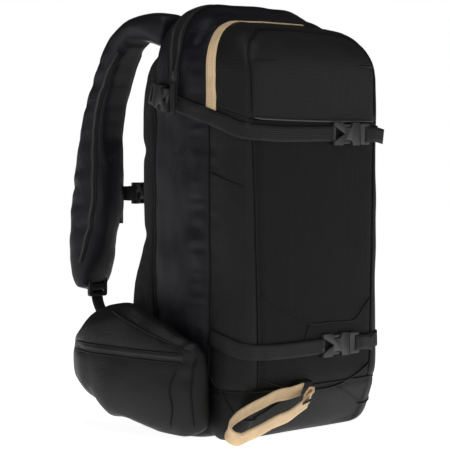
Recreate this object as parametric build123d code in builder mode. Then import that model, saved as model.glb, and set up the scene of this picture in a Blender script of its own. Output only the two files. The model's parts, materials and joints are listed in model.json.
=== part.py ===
from build123d import *

import os
from functools import lru_cache
from math import radians, tan

# Ski touring airbag backpack, in millimetres. +Z is up and z = 0 is the flat base it stands on.
# -Y is the face away from the wearer, +Y the wearer's side, and -X the wearer's left.

# ---------------------------------------------------------------- driving dimensions
# The bag in plan
front_y = -88.0
back_y = 86.0
front_half = 118.0
middle_half = 146.0
middle_y = 10.0
back_half = 132.0
front_corner_r = 18.0
middle_r = 90.0
back_corner_r = 22.0

# The bag from the side
ridge_y = 40.0
ridge_z = 562.0
front_top_z = 510.0
back_top_z = 536.0
base_front_y = -60.0
boot_z = 62.0
ridge_r = 60.0
front_top_r = 42.0
back_top_r = 30.0
boot_r = 60.0
base_front_r = 30.0
base_back_r = 25.0

# The bag from the front
base_half = 134.0
belly_half = 150.0
belly_z = 330.0
shoulder_half = 148.0
base_corner_r = 38.0
belly_r = 400.0
shoulder_r = 112.0
crown_fall = 0.41

# Panels and seams
wall = 3.0
seam_gap = 0.5
pocket_y = -21.0
boot_top_z = 64.0
lid_z = 408.0
pocket_face_half = 100.0
partition_y = 39.0
cap_back_y = 27.0
cap_z = 521.0
flap_front_y = 47.0
flap_back_y = 73.0
flap_z = 532.0
zip_clear = 1.5

# Zips and trim
zip_width = 4.0
zip_height = 1.2
zip_low_z = 461.0
trim_width = 9.0
trim_height = 1.0
trim_end_x = 60.0

# Webbing and its buckles
webbing = 20.0
webbing_t = 2.0
belt_webbing = 38.0
running_gap = 0.4
top_strap_z = 391.0
bottom_strap_z = 114.0
top_buckle_x = 78.0
bottom_buckle_x = 56.0
side_strap_rise = 18.0
side_strap_end_y = 40.0
low_strap_rise = 15.0
buckle_t = 9.0
female_flare = 5.0
female_arm = 4.0
throat_share = 0.58
window_place = 0.46
window_width = 0.36
window_depth = 0.9
window_r = 0.12
channel_share = 0.7
channel_clear = 0.3
bar_depth = 5.0
bar_inset = 2.0
mouth_gap = 1.0
male_flare = 4.0
male_corner_r = 2.5
slot_place = 0.62
slot_share = 0.2
prong_low = 2.8
prong_high = 7.0
prong_near = 2.2
prong_far = 6.6
prong_share = 0.6
prong_r = 2.0
tuck_share = 0.87
front_female = 54.0
front_base = 20.0
side_female = 24.0
side_base = 14.0
sternum_female = 24.0
sternum_base = 12.0
belt_female = 56.0
belt_base = 24.0

# Back panel, frame and pads
pad_t = 14.0
pad_width = 78.0
pad_height = 104.0
pad_step = 112.0
pad_low_z = 150.0
pad_x = 54.0
pad_r = 10.0
lumbar_half = 84.0
lumbar_low_z = 62.0
lumbar_high_z = 138.0
lumbar_t = 20.0
frame_sheet_t = 2.5
frame_half = 100.0
frame_low_z = 40.0
frame_high_z = 480.0
stay_width = 20.0
stay_t = 3.0
stay_x = 60.0

# Shoulder straps
strap_inner_x = 46.0
strap_outer_x = 104.0
strap_pad = 14.0
sleeve_inset = 4.0
sleeve_low_z = 200.0
handle_width = 22.0
handle_depth = 9.0
handle_length = 78.0
handle_top_z = 330.0
handle_y = 250.0
lock_width = 34.0
lock_height = 26.0
lock_t = 5.0
lock_y = 246.0
lock_top_z = 193.0
strap_anchor_z = 122.0
rail_t = 4.0
rail_depth = 6.0
rail_y = 219.0
rail_low_z = 268.0
rail_high_z = 352.0
sternum_z = 310.0
slider_t = 9.0
haul_half = 34.0
haul_reach = 30.0
haul_z = 498.0
haul_t = 3.0

# Hip belt
fin_t = 12.0
fin_front_z = 126.0
fin_back_z = 158.0
hip_gap = 1.13
hinge_y = 72.0
wing_t = 14.0
wing_bow = 6.0
wing_foot_y = 132.0
hinge_clear = 1.5
pocket_reach = 16.0
hip_pocket_front_y = 82.0
hip_pocket_back_y = 186.0
hip_pocket_low_z = 24.0
hip_pocket_high_z = 132.0
hip_zip_z = 110.0
belt_y = 210.0
belt_z = 92.0
belt_end_inset = 18.0
belt_half_gap = 3.0

# Airbag system in the rear compartment
airbag_half = 96.0
airbag_low_z = 336.0
airbag_high_z = 520.0
airbag_front_y = 46.0
airbag_back_y = 74.0
airbag_r = 12.0
blower_x = -52.0
blower_z = 270.0
blower_r = 36.0
blower_wall = 2.5
blower_depth = 26.0
impeller_r = 28.0
impeller_bore = 3.0
motor_r = 12.0
blade_count = 9
battery_width = 72.0
battery_height = 96.0
battery_depth = 24.0
battery_x = 42.0
battery_z = 262.0
button_r = 6.0
button_height = 3.0

# Tail loop
loop_x = -52.0
loop_y = -99.0
loop_z = 66.0
loop_t = 2.0
anchor_width = 26.0
anchor_height = 12.0


# ---------------------------------------------------------------- shared shapes
def block(low, high):
    """A box from its low corner to its high corner."""
    size = [b - a for a, b in zip(low, high)]
    with BuildPart() as made:
        with Locations(low):
            Box(*size, align=(Align.MIN, Align.MIN, Align.MIN))
    return made.part


@lru_cache(maxsize=None)
def bag_volume(inset):
    """The bag's outside at inset 0, its inside at the wall's thickness, and a layer on it below 0."""
    plan = [
        (-front_half, front_y), (front_half, front_y), (middle_half, middle_y),
        (back_half, back_y), (-back_half, back_y), (-middle_half, middle_y),
    ]
    plan_r = [front_corner_r, front_corner_r, middle_r, back_corner_r, back_corner_r, middle_r]
    side = [
        (base_front_y, 0), (front_y, boot_z), (front_y, front_top_z),
        (ridge_y, ridge_z), (back_y, back_top_z), (back_y, 0),
    ]
    side_r = [base_front_r, boot_r, front_top_r, ridge_r, back_top_r, base_back_r]
    front = [
        (-base_half, 0), (-belly_half, belly_z), (-shoulder_half, ridge_z),
        (shoulder_half, ridge_z), (belly_half, belly_z), (base_half, 0),
    ]
    front_r = [base_corner_r, belly_r, shoulder_r, shoulder_r, belly_r, base_corner_r]
    with BuildPart() as volume:
        with BuildSketch(Plane.XY.offset(-ridge_z)):
            with BuildLine():
                FilletPolyline(*plan, radius=plan_r, close=True)
            make_face()
            if inset:
                offset(amount=-inset)
        extrude(amount=3 * ridge_z)
        for plane, outline, radii in ((Plane.YZ, side, side_r), (Plane.XZ, front, front_r)):
            with BuildSketch(plane):
                with BuildLine():
                    FilletPolyline(*outline, radius=radii, close=True)
                make_face()
                if inset:
                    offset(amount=-inset)
            extrude(amount=2 * belly_half, both=True, mode=Mode.INTERSECT)
        with BuildSketch(Plane.XZ.offset(-back_y - wall - fin_t)):
            with BuildLine():
                crown_z = ridge_z + crown_fall * (back_y + wall + fin_t - ridge_y)
                FilletPolyline(
                    (-shoulder_half, -ridge_z), (-shoulder_half, crown_z),
                    (shoulder_half, crown_z), (shoulder_half, -ridge_z),
                    radius=[1, shoulder_r, shoulder_r, 1], close=True,
                )
            make_face()
            if inset:
                offset(amount=-inset)
        extrude(amount=2 * belly_half, dir=(0, -1, -crown_fall), mode=Mode.INTERSECT)
    return volume.part


far = 2 * ridge_z
outside = bag_volume(0)
inside = bag_volume(wall)

with BuildPart() as shell_build:
    add(outside)
    add(inside, mode=Mode.SUBTRACT)
shell = shell_build.part


side_strap_slope = tan(radians(side_strap_rise))


def lid_line(y):
    """Height of the lid's lower edge, which rises beside the compression strap."""
    return lid_z + side_strap_slope * (y - front_y)


with BuildPart() as lid_space:
    with BuildSketch(Plane.YZ.offset(-far)):
        with BuildLine():
            Polyline(
                (-far, lid_line(-far)), (pocket_y, lid_line(pocket_y)), (pocket_y, far),
                (-far, far), close=True,
            )
        make_face()
    extrude(amount=2 * far)


def layer(thickness, *cuts):
    """A layer of some thickness on the bag's outside, kept only where every cut has material."""
    with BuildPart() as made:
        add(bag_volume(-thickness))
        add(outside, mode=Mode.SUBTRACT)
        for cut in cuts:
            add(cut, mode=Mode.INTERSECT)
    return made.part


def half_width(y):
    """The bag's half width in plan behind its widest place, on the straight run to its back corner."""
    share = (y - middle_y) / (back_y - middle_y)
    return middle_half + (back_half - middle_half) * share


parts = []


def finish(made, label):
    """Labels a finished part and keeps it for export."""
    made.part.label = label
    parts.append(made.part)


# ---------------------------------------------------------------- bag panels
with BuildPart() as bag_bottom:
    add(shell)
    add(block((-far, -far, 0), (far, far, boot_top_z)), mode=Mode.INTERSECT)
finish(bag_bottom, "bag_bottom")

with BuildPart() as pocket_front:
    add(shell)
    add(
        block((-pocket_face_half, -far, boot_top_z), (pocket_face_half, pocket_y, far)),
        mode=Mode.INTERSECT,
    )
    add(lid_space.part, mode=Mode.SUBTRACT)
finish(pocket_front, "pocket_front")

with BuildPart() as pocket_side_left:
    add(shell)
    add(block((-far, -far, boot_top_z), (-pocket_face_half, pocket_y, far)), mode=Mode.INTERSECT)
    add(lid_space.part, mode=Mode.SUBTRACT)
finish(pocket_side_left, "pocket_side_left")

with BuildPart() as pocket_side_right:
    mirror(pocket_side_left.part, about=Plane.YZ)
finish(pocket_side_right, "pocket_side_right")

with BuildPart() as pocket_divider:
    add(inside)
    add(block((-far, pocket_y - wall, 0), (far, pocket_y, far)), mode=Mode.INTERSECT)
finish(pocket_divider, "pocket_divider")

with BuildPart() as pocket_lid:
    add(shell)
    add(lid_space.part.moved(Location((0, -seam_gap, seam_gap))), mode=Mode.INTERSECT)
finish(pocket_lid, "pocket_lid")

with BuildPart() as bag_side_left:
    add(shell)
    add(block((-far, pocket_y, boot_top_z), (0, back_y - wall, far)), mode=Mode.INTERSECT)
    add(
        block((-far, pocket_y - 1, cap_z - seam_gap), (far, cap_back_y, far)),
        mode=Mode.SUBTRACT,
    )
    add(
        block(
            (-far, flap_front_y - seam_gap, flap_z - seam_gap),
            (far, flap_back_y + seam_gap, far),
        ),
        mode=Mode.SUBTRACT,
    )
finish(bag_side_left, "bag_side_left")

with BuildPart() as bag_side_right:
    mirror(bag_side_left.part, about=Plane.YZ)
finish(bag_side_right, "bag_side_right")

with BuildPart() as main_lid:
    add(shell)
    add(
        block((-far, pocket_y + seam_gap, cap_z), (far, cap_back_y - 2 * seam_gap, far)),
        mode=Mode.INTERSECT,
    )
finish(main_lid, "main_lid")

with BuildPart() as airbag_flap:
    add(shell)
    add(
        block((-far, flap_front_y + seam_gap, flap_z), (far, flap_back_y, far)),
        mode=Mode.INTERSECT,
    )
finish(airbag_flap, "airbag_flap")

with BuildPart() as rear_partition:
    add(inside)
    add(block((-far, partition_y, 0), (far, partition_y + wall, far)), mode=Mode.INTERSECT)
finish(rear_partition, "rear_partition")

with BuildPart() as back_panel:
    add(shell)
    add(block((-far, back_y - wall, boot_top_z), (far, far, far)), mode=Mode.INTERSECT)
finish(back_panel, "back_panel")

# ---------------------------------------------------------------- zips and trim
with BuildPart() as main_zip:
    add(
        layer(
            zip_height,
            block(
                (-far, cap_back_y + zip_clear, zip_low_z),
                (far, cap_back_y + zip_clear + zip_width, far),
            ),
        )
    )
finish(main_zip, "main_zip")

with BuildPart() as airbag_zip:
    add(
        layer(
            zip_height,
            block(
                (-far, flap_front_y - zip_clear - zip_width, zip_low_z),
                (far, flap_front_y - zip_clear, far),
            ),
        )
    )
finish(airbag_zip, "airbag_zip")

with BuildPart() as pocket_trim:
    add(
        layer(
            trim_height,
            block(
                (-far, pocket_y - seam_gap - trim_width, lid_line(pocket_y) + 2 * seam_gap),
                (trim_end_x, pocket_y - seam_gap, far),
            ),
        )
    )
finish(pocket_trim, "pocket_trim")


# ---------------------------------------------------------------- compression straps
def side_band(side, base_z, rise, end_y):
    """A band round one front corner and back along the side, rising by an angle in degrees."""
    flank = Plane(origin=(0, front_y, base_z), x_dir=(0, 1, 0), z_dir=(1, 0, 0))
    with BuildPart() as cut:
        with BuildSketch(flank):
            with Locations(Rotation(0, 0, rise)):
                Rectangle(2 * (end_y - front_y), webbing)
        extrude(amount=side * far)
        add(
            block((-far, front_y + front_corner_r, 0), (far, end_y, far)),
            mode=Mode.INTERSECT,
        )
    return layer(webbing_t, cut.part)


with BuildPart() as side_straps:
    for hand in (-1, 1):
        add(side_band(hand, top_strap_z, side_strap_rise, side_strap_end_y))
        add(side_band(hand, bottom_strap_z, low_strap_rise, pocket_y))
finish(side_straps, "side_straps")


def front_band(centre_z, buckle_x):
    """The band across the front: a sewn run to the female half, and a run out of the male half."""
    low = centre_z - webbing / 2
    high = centre_z + webbing / 2
    edge_y = front_y + front_corner_r
    sewn_x = buckle_x - front_female * tuck_share
    free_x = buckle_x + front_base / 2
    with BuildPart() as band:
        add(layer(webbing_t, block((-far, -far, low), (sewn_x, edge_y, high))))
        add(layer(webbing_t, block((free_x, -far, low), (far, edge_y, high))))
    return band.part


with BuildPart() as front_strap_top:
    add(front_band(top_strap_z, top_buckle_x))
finish(front_strap_top, "front_strap_top")

with BuildPart() as front_strap_bottom:
    add(front_band(bottom_strap_z, bottom_buckle_x))
finish(front_strap_bottom, "front_strap_bottom")


# ---------------------------------------------------------------- side-release buckles
def female_half(width, length):
    """Female half with its mouth at x = 0, lying on z = 0, with an X-shaped waist."""
    half = width / 2 + female_flare
    window_x = -length * window_place
    with BuildPart() as made:
        with BuildSketch():
            with Locations((-length / 2, 0)):
                Rectangle(length, 2 * half)
            with BuildLine():
                Polyline(
                    (-length - mouth_gap, half - female_arm), (-length * throat_share, 0),
                    (-length - mouth_gap, female_arm - half), close=True,
                )
            make_face(mode=Mode.SUBTRACT)
            with Locations((window_x, half), (window_x, -half)):
                RectangleRounded(
                    length * window_width, half * window_depth, length * window_r, mode=Mode.SUBTRACT
                )
        extrude(amount=buckle_t)
        fillet(made.edges().filter_by(Axis.Z).group_by(SortBy.LENGTH)[-1], radius=0.8)
        for hand in (-1, 1):
            edges = sorted((hand * (half - prong_far), hand * (half - prong_near)))
            add(
                block(
                    (-length * channel_share, edges[0] - running_gap, prong_low - channel_clear),
                    (0, edges[1] + running_gap, prong_high + channel_clear),
                ),
                mode=Mode.SUBTRACT,
            )
        with Locations((-length, 0, 0)):
            Box(
                2 * length * (1 - tuck_share) + 2 * running_gap, width + 2 * running_gap,
                2 * (webbing_t + running_gap), mode=Mode.SUBTRACT,
            )
        add(
            block(
                (-length, -width / 2, webbing_t + running_gap),
                (-length + bar_depth, width / 2, buckle_t - bar_inset),
            )
        )
    return made.part


def male_half(width, female, base):
    """Male half that plugs into a female half whose mouth is at x = 0: two prongs and a frame."""
    half = width / 2 + male_flare
    prong = female * prong_share
    prong_y = width / 2 + female_flare - (prong_near + prong_far) / 2
    middle_x = mouth_gap + base / 2
    with BuildPart() as made:
        with BuildSketch(Plane.XY):
            with Locations((middle_x, 0)):
                RectangleRounded(base, 2 * half, male_corner_r)
        extrude(amount=buckle_t)
        with Locations((middle_x, 0, 0)):
            Box(2 * base, width + 2 * running_gap, 2 * (webbing_t + running_gap), mode=Mode.SUBTRACT)
        with Locations((mouth_gap + base * slot_place, 0, buckle_t)):
            Box(base * slot_share, width, 2 * (buckle_t - prong_low - bar_inset), mode=Mode.SUBTRACT)
        for hand in (-1, 1):
            with BuildSketch(Plane.XY.offset(prong_low)):
                with Locations((mouth_gap - prong / 2, hand * prong_y)):
                    RectangleRounded(prong + 2 * mouth_gap, prong_far - prong_near, prong_r)
            extrude(amount=prong_high - prong_low)
    return made.part


def on_front(x, z):
    """Frame on the front face at a height: its x runs across the pack and its z points out."""
    return Plane(origin=(x, front_y, z), x_dir=(1, 0, 0), z_dir=(0, -1, 0))


front_buckles = (
    ("top", on_front(top_buckle_x, top_strap_z)),
    ("bottom", on_front(bottom_buckle_x, bottom_strap_z)),
)
for name, place in front_buckles:
    with BuildPart() as front_female_half:
        add(place.from_local_coords(female_half(webbing, front_female)))
    finish(front_female_half, name + "_buckle_female")
    with BuildPart() as front_male_half:
        add(place.from_local_coords(male_half(webbing, front_female, front_base)))
    finish(front_male_half, name + "_buckle_male")

side_mouth_y = side_strap_end_y + side_female * 0.9
side_mouth_z = top_strap_z + (side_mouth_y - front_y) * side_strap_slope
facet = Vector(middle_half - back_half, back_y - middle_y, 0).normalized()


def on_side(hand):
    """Frame on the side facet behind the widest place: x runs back and up, z points out."""
    run = Vector(-hand * facet.X, facet.Y, side_strap_slope).normalized()
    out = Vector(hand * facet.Y, facet.X, 0)
    return Plane(
        origin=(hand * (half_width(side_mouth_y) + 0.3), side_mouth_y, side_mouth_z),
        x_dir=run,
        z_dir=out,
    )


with BuildPart() as side_buckle_females:
    for hand in (-1, 1):
        add(on_side(hand).from_local_coords(female_half(webbing, side_female)))
finish(side_buckle_females, "side_buckle_females")

for name, hand in (("left", -1), ("right", 1)):
    with BuildPart() as side_male_half:
        add(on_side(hand).from_local_coords(male_half(webbing, side_female, side_base)))
    finish(side_male_half, "side_buckle_male_" + name)

# ---------------------------------------------------------------- back panel, frame and pads
with BuildPart() as frame_sheet:
    with BuildSketch(Plane.XZ.offset(-(back_y - wall))):
        with Locations((0, (frame_low_z + frame_high_z) / 2)):
            RectangleRounded(2 * frame_half, frame_high_z - frame_low_z, 30)
    extrude(amount=frame_sheet_t)
finish(frame_sheet, "frame_sheet")

with BuildPart() as frame_stays:
    with BuildSketch(Plane.XZ.offset(-(back_y - wall - frame_sheet_t))):
        with Locations(
            (-stay_x, (frame_low_z + frame_high_z) / 2), (stay_x, (frame_low_z + frame_high_z) / 2)
        ):
            SlotOverall(frame_high_z - frame_low_z - 20, stay_width, rotation=90)
    extrude(amount=stay_t)
finish(frame_stays, "frame_stays")

with BuildPart() as back_pads:
    with BuildSketch(Plane.XZ.offset(-back_y)):
        with Locations((0, pad_low_z + pad_height / 2 + pad_step)):
            with GridLocations(2 * pad_x, pad_step, 2, 3):
                RectangleRounded(pad_width, pad_height, pad_r)
    extrude(amount=-pad_t)
    fillet(back_pads.faces().sort_by(Axis.Y)[-6:].edges(), radius=5)
finish(back_pads, "back_pads")

with BuildPart() as lumbar_pad:
    with BuildSketch(Plane.XZ.offset(-back_y)):
        with Locations((0, (lumbar_low_z + lumbar_high_z) / 2)):
            RectangleRounded(2 * lumbar_half, lumbar_high_z - lumbar_low_z, 2 * pad_r)
    extrude(amount=-lumbar_t)
    fillet(lumbar_pad.faces().sort_by(Axis.Y)[-1].edges(), radius=8)
finish(lumbar_pad, "lumbar_pad")

with BuildPart() as haul_loop:
    with BuildSketch(Plane.XY.offset(haul_z - webbing / 2)):
        with BuildLine():
            FilletPolyline(
                (-haul_half, back_y + haul_t / 2), (-haul_half + 4, back_y + haul_reach),
                (haul_half - 4, back_y + haul_reach), (haul_half, back_y + haul_t / 2),
                radius=12,
            )
            offset(amount=haul_t / 2)
        make_face()
    extrude(amount=webbing)
finish(haul_loop, "haul_loop")

# ---------------------------------------------------------------- shoulder straps
strap_route = [
    (back_y + strap_pad / 2, 526), (160, 529), (194, 494), (212, 455), (221, 412),
    (218, 326), (221, 284), (231, 243), (241, 204),
]
strap_bends = [30, 70, 80, 160, 160, 90, 120]
sleeve_outline = [
    (204, 484), (214, 472), (229, 447), (248, 393), (260, 345), (268, 305), (270, 268),
    (268, 230), (264, sleeve_low_z), (241, sleeve_low_z), (231, 243), (221, 284), (218, 326),
    (221, 412), (212, 455),
]


def strap_profile(hand):
    """The padded band, as one profile from the yoke down to its lower end, run across its width."""
    inner = hand * strap_inner_x
    with BuildPart() as made:
        with BuildSketch(Plane.YZ.offset(inner)):
            with BuildLine() as centre:
                FilletPolyline(*strap_route, radius=strap_bends)
            SlotArc(centre.wires()[0], strap_pad, mode=Mode.ADD)
        extrude(amount=hand * (strap_outer_x - strap_inner_x))
        add(block((-far, back_y, 0), (far, far, far)), mode=Mode.INTERSECT)
    return made.part


def sleeve_profile(hand, pad):
    """The zipped sleeve on the outer face of the padded band."""
    with BuildPart() as made:
        with BuildSketch(Plane.YZ.offset(hand * (strap_inner_x + sleeve_inset))):
            with BuildLine():
                Polyline(*sleeve_outline, close=True)
            make_face()
        extrude(amount=hand * (strap_outer_x - strap_inner_x - 2 * sleeve_inset))
        add(pad, mode=Mode.SUBTRACT)
    return made.part


strap_mid_x = (strap_inner_x + strap_outer_x) / 2
handle_low = (
    -strap_mid_x - handle_width / 2, handle_y, handle_top_z - handle_length,
)
handle_high = (-strap_mid_x + handle_width / 2, handle_y + handle_depth, handle_top_z)

with BuildPart() as shoulder_strap_left:
    add(strap_profile(-1))
finish(shoulder_strap_left, "shoulder_strap_left")

with BuildPart() as shoulder_strap_right:
    add(strap_profile(1))
finish(shoulder_strap_right, "shoulder_strap_right")

with BuildPart() as strap_sleeve_left:
    add(sleeve_profile(-1, shoulder_strap_left.part))
    add(
        block(
            (handle_low[0] - running_gap, handle_low[1] - running_gap, 0),
            [v + running_gap for v in handle_high],
        ),
        mode=Mode.SUBTRACT,
    )
finish(strap_sleeve_left, "strap_sleeve_left")

with BuildPart() as strap_sleeve_right:
    add(sleeve_profile(1, shoulder_strap_right.part))
finish(strap_sleeve_right, "strap_sleeve_right")

with BuildPart() as trigger_handle:
    add(block(handle_low, handle_high))
    fillet(trigger_handle.edges().filter_by(Axis.Z), radius=3)
finish(trigger_handle, "trigger_handle")

with BuildPart() as ladder_locks:
    lock_z = lock_top_z - lock_height / 2
    with BuildSketch(Plane.XZ.offset(-(lock_y - lock_t / 2))):
        with Locations((-strap_mid_x, lock_z), (strap_mid_x, lock_z)):
            RectangleRounded(lock_width, lock_height, 4)
            with GridLocations(1, lock_height / 2, 1, 2):
                SlotOverall(webbing + 4, 5, mode=Mode.SUBTRACT)
    extrude(amount=-lock_t)
finish(ladder_locks, "ladder_locks")

with BuildPart() as strap_webbing:
    for hand in (-1, 1):
        low_z = lock_top_z - lock_height
        with BuildSketch(Plane.YZ.offset(hand * strap_mid_x - webbing / 2)):
            with BuildLine() as run:
                FilletPolyline(
                    (lock_y, low_z - webbing_t), (lock_y - 8, low_z - 22),
                    (140, strap_anchor_z + 6), (back_y + 3, strap_anchor_z),
                    radius=[16, 60],
                )
            SlotArc(run.wires()[0], webbing_t, mode=Mode.ADD)
        extrude(amount=webbing)
    add(block((-far, back_y, 0), (far, far, far)), mode=Mode.INTERSECT)
    add(lumbar_pad.part, mode=Mode.SUBTRACT)
finish(strap_webbing, "strap_webbing")

# ---------------------------------------------------------------- sternum strap
with BuildPart() as sternum_rails:
    for hand in (-1, 1):
        near = sorted((hand * strap_inner_x, hand * (strap_inner_x - rail_t)))
        add(block((near[0], rail_y, rail_low_z), (near[1], rail_y + rail_depth, rail_high_z)))
finish(sternum_rails, "sternum_rails")

slider_in_x = strap_inner_x - slider_t - running_gap
sternum_y = rail_y + rail_depth / 2 - webbing_t / 2
with BuildPart() as sternum_webbing:
    low_z = sternum_z - webbing / 2
    high_z = sternum_z + webbing / 2
    for hand in (-1, 1):
        ends = sorted((hand * (strap_inner_x - running_gap), hand * slider_in_x))
        add(block((ends[0], rail_y - 3, low_z), (ends[1], rail_y + rail_depth + 3, high_z)))
        rail = sorted((hand * far, hand * (strap_inner_x - rail_t - running_gap)))
        add(
            block(
                (rail[0], rail_y - running_gap, 0),
                (rail[1], rail_y + rail_depth + running_gap, far),
            ),
            mode=Mode.SUBTRACT,
        )
    sewn_x = -sternum_female * tuck_share
    add(block((-slider_in_x, sternum_y, low_z), (sewn_x, sternum_y + webbing_t, high_z)))
    free_x = mouth_gap + sternum_base / 2
    add(block((free_x, sternum_y, low_z), (slider_in_x, sternum_y + webbing_t, high_z)))
finish(sternum_webbing, "sternum_webbing")

sternum_place = Plane(origin=(0, sternum_y, sternum_z), x_dir=(1, 0, 0), z_dir=(0, 1, 0))
with BuildPart() as sternum_buckle_female:
    add(sternum_place.from_local_coords(female_half(webbing, sternum_female)))
finish(sternum_buckle_female, "sternum_buckle_female")

with BuildPart() as sternum_buckle_male:
    add(sternum_place.from_local_coords(male_half(webbing, sternum_female, sternum_base)))
finish(sternum_buckle_male, "sternum_buckle_male")

# ---------------------------------------------------------------- hip belt
with BuildPart() as fin_cut:
    with BuildSketch(Plane.YZ.offset(-far)):
        with BuildLine():
            Polyline(
                (pocket_y, 0), (hinge_y - wing_t / 2 - hinge_clear, 0),
                (hinge_y - wing_t / 2 - hinge_clear, fin_back_z), (pocket_y, fin_front_z),
                close=True,
            )
        make_face()
    extrude(amount=2 * far)

with BuildPart() as hip_fins:
    add(layer(fin_t, fin_cut.part, block((-far, -far, 0), (-base_half / 2, far, far))))
    mirror(about=Plane.YZ)
finish(hip_fins, "hip_fins")

hinge_x = half_width(hinge_y - wing_t / 2) + hip_gap + wing_t / 2
belt_end_x = hinge_x - belt_end_inset
wing_x = hinge_x + wing_bow
wing_tip_y = hip_pocket_back_y + 2 * wing_t
wing_route = [
    (-hinge_x, hinge_y), (-wing_x, 100), (-wing_x, 168), (-hinge_x + 4, 192), (-hinge_x + 16, 208),
]
wing_bends = [60, 60, 60]
wing_outline = [
    (0, 0), (wing_foot_y, 0), (166, 18), (wing_tip_y, 46), (wing_tip_y, 130), (150, 148),
    (108, 172), (0, 150),
]

with BuildPart() as hip_wing_left:
    with BuildSketch():
        with BuildLine() as wing_line:
            FilletPolyline(*wing_route, radius=wing_bends)
        SlotArc(wing_line.wires()[0], wing_t, mode=Mode.ADD)
    extrude(amount=far)
    with BuildSketch(Plane.YZ):
        with BuildLine():
            Polyline(*wing_outline, close=True)
        make_face()
    extrude(amount=-far, mode=Mode.INTERSECT)
finish(hip_wing_left, "hip_wing_left")

with BuildPart() as hip_wing_right:
    mirror(hip_wing_left.part, about=Plane.YZ)
finish(hip_wing_right, "hip_wing_right")

hip_face_x = -wing_x - wing_t / 2
hip_pocket_x = hip_face_x - pocket_reach
hip_root_x = hip_face_x + 4
hip_tail_x = hip_face_x + 12
with BuildPart() as hip_pocket_left:
    with BuildSketch(Plane.XY.offset(hip_pocket_low_z)):
        with BuildLine():
            FilletPolyline(
                (hip_root_x, hip_pocket_front_y), (hip_pocket_x, hip_pocket_front_y + pocket_reach),
                (hip_pocket_x, hip_pocket_back_y - 12), (hip_tail_x, hip_pocket_back_y + 4),
                radius=[14, 12],
            )
            Line((hip_tail_x, hip_pocket_back_y + 4), (hip_root_x, hip_pocket_front_y))
        make_face()
    extrude(amount=hip_pocket_high_z - hip_pocket_low_z)
    add(hip_wing_left.part, mode=Mode.SUBTRACT)
    add(block((hip_face_x, 0, 0), (0, far, far)), mode=Mode.SUBTRACT)
    fillet(hip_pocket_left.faces().sort_by(Axis.X)[0].edges().filter_by(Axis.Y), radius=10)
finish(hip_pocket_left, "hip_pocket_left")

with BuildPart() as hip_zip_slider:
    slider_y = hip_pocket_back_y - 22
    add(
        block(
            (hip_pocket_x - 4, slider_y - 5, hip_zip_z - 4),
            (hip_pocket_x - running_gap, slider_y + 5, hip_zip_z + 4),
        )
    )
    add(
        block(
            (hip_pocket_x - 3.4, slider_y - 2.5, hip_zip_z - 42),
            (hip_pocket_x - 1, slider_y + 2.5, hip_zip_z),
        )
    )
    fillet(hip_zip_slider.edges().filter_by(Axis.X), radius=0.6)
finish(hip_zip_slider, "hip_zip_slider")

belt_mouth_x = -belt_half_gap
belt_prong_x = belt_half_gap + belt_female * prong_share
with BuildPart() as hip_webbing_left:
    add(
        block(
            (-belt_end_x, belt_y, belt_z - belt_webbing / 2),
            (belt_mouth_x - belt_female * tuck_share, belt_y + webbing_t, belt_z + belt_webbing / 2),
        )
    )
    add(hip_wing_left.part, mode=Mode.SUBTRACT)
finish(hip_webbing_left, "hip_webbing_left")

with BuildPart() as hip_webbing_right:
    add(
        block(
            (belt_prong_x + belt_base / 2, belt_y, belt_z - belt_webbing / 2),
            (belt_end_x, belt_y + webbing_t, belt_z + belt_webbing / 2),
        )
    )
    add(hip_wing_right.part, mode=Mode.SUBTRACT)
finish(hip_webbing_right, "hip_webbing_right")

belt_place = Plane(origin=(belt_mouth_x, belt_y, belt_z), x_dir=(1, 0, 0), z_dir=(0, 1, 0))
with BuildPart() as hip_buckle_female:
    add(belt_place.from_local_coords(female_half(belt_webbing, belt_female)))
finish(hip_buckle_female, "hip_buckle_female")

belt_male_place = Plane(origin=(belt_prong_x, belt_y, belt_z), x_dir=(1, 0, 0), z_dir=(0, 1, 0))
with BuildPart() as hip_buckle_male:
    add(belt_male_place.from_local_coords(male_half(belt_webbing, belt_female, belt_base)))
finish(hip_buckle_male, "hip_buckle_male")

# ---------------------------------------------------------------- zip slider on the bag
with BuildPart() as main_zip_slider:
    zip_face_x = -half_width(cap_back_y) - zip_height
    zip_y = cap_back_y + zip_width / 2
    add(
        block(
            (zip_face_x - 3.4, zip_y - 4, zip_low_z), (zip_face_x - running_gap, zip_y + 4, zip_low_z + 10)
        )
    )
    add(
        block(
            (zip_face_x - 3, zip_y - 3, zip_low_z - 30), (zip_face_x - 1, zip_y + 3, zip_low_z + 4)
        )
    )
finish(main_zip_slider, "main_zip_slider")

# ---------------------------------------------------------------- airbag system
with BuildPart() as airbag:
    add(block((-airbag_half, airbag_front_y, airbag_low_z), (airbag_half, airbag_back_y, airbag_high_z)))
    fillet(airbag.edges(), radius=airbag_r)
finish(airbag, "airbag")

blower_y = airbag_front_y + 1
with BuildPart() as blower_housing:
    with BuildSketch(Plane.XZ.offset(-blower_y)):
        with Locations((blower_x, blower_z)):
            Circle(blower_r)
        with Locations((blower_x + blower_r / 2, blower_z + blower_r)):
            Rectangle(blower_r, 2 * (airbag_low_z - blower_z - blower_r))
    extrude(amount=-blower_depth)
    with BuildSketch(Plane.XZ.offset(-blower_y - blower_wall)):
        with Locations((blower_x, blower_z)):
            Circle(blower_r - blower_wall)
    extrude(amount=-(blower_depth - 2 * blower_wall), mode=Mode.SUBTRACT)
    with BuildSketch(Plane.XZ.offset(-blower_y)):
        with Locations((blower_x, blower_z)):
            Circle(motor_r + 4)
    extrude(amount=-blower_wall, mode=Mode.SUBTRACT)
    with BuildSketch(Plane.XZ.offset(-blower_y - blower_wall)):
        with Locations((blower_x + blower_r / 2, blower_z + blower_r)):
            Rectangle(blower_r - 2 * blower_wall, 4 * blower_r)
    extrude(amount=-(blower_depth - 2 * blower_wall), mode=Mode.SUBTRACT)
finish(blower_housing, "blower_housing")

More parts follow.
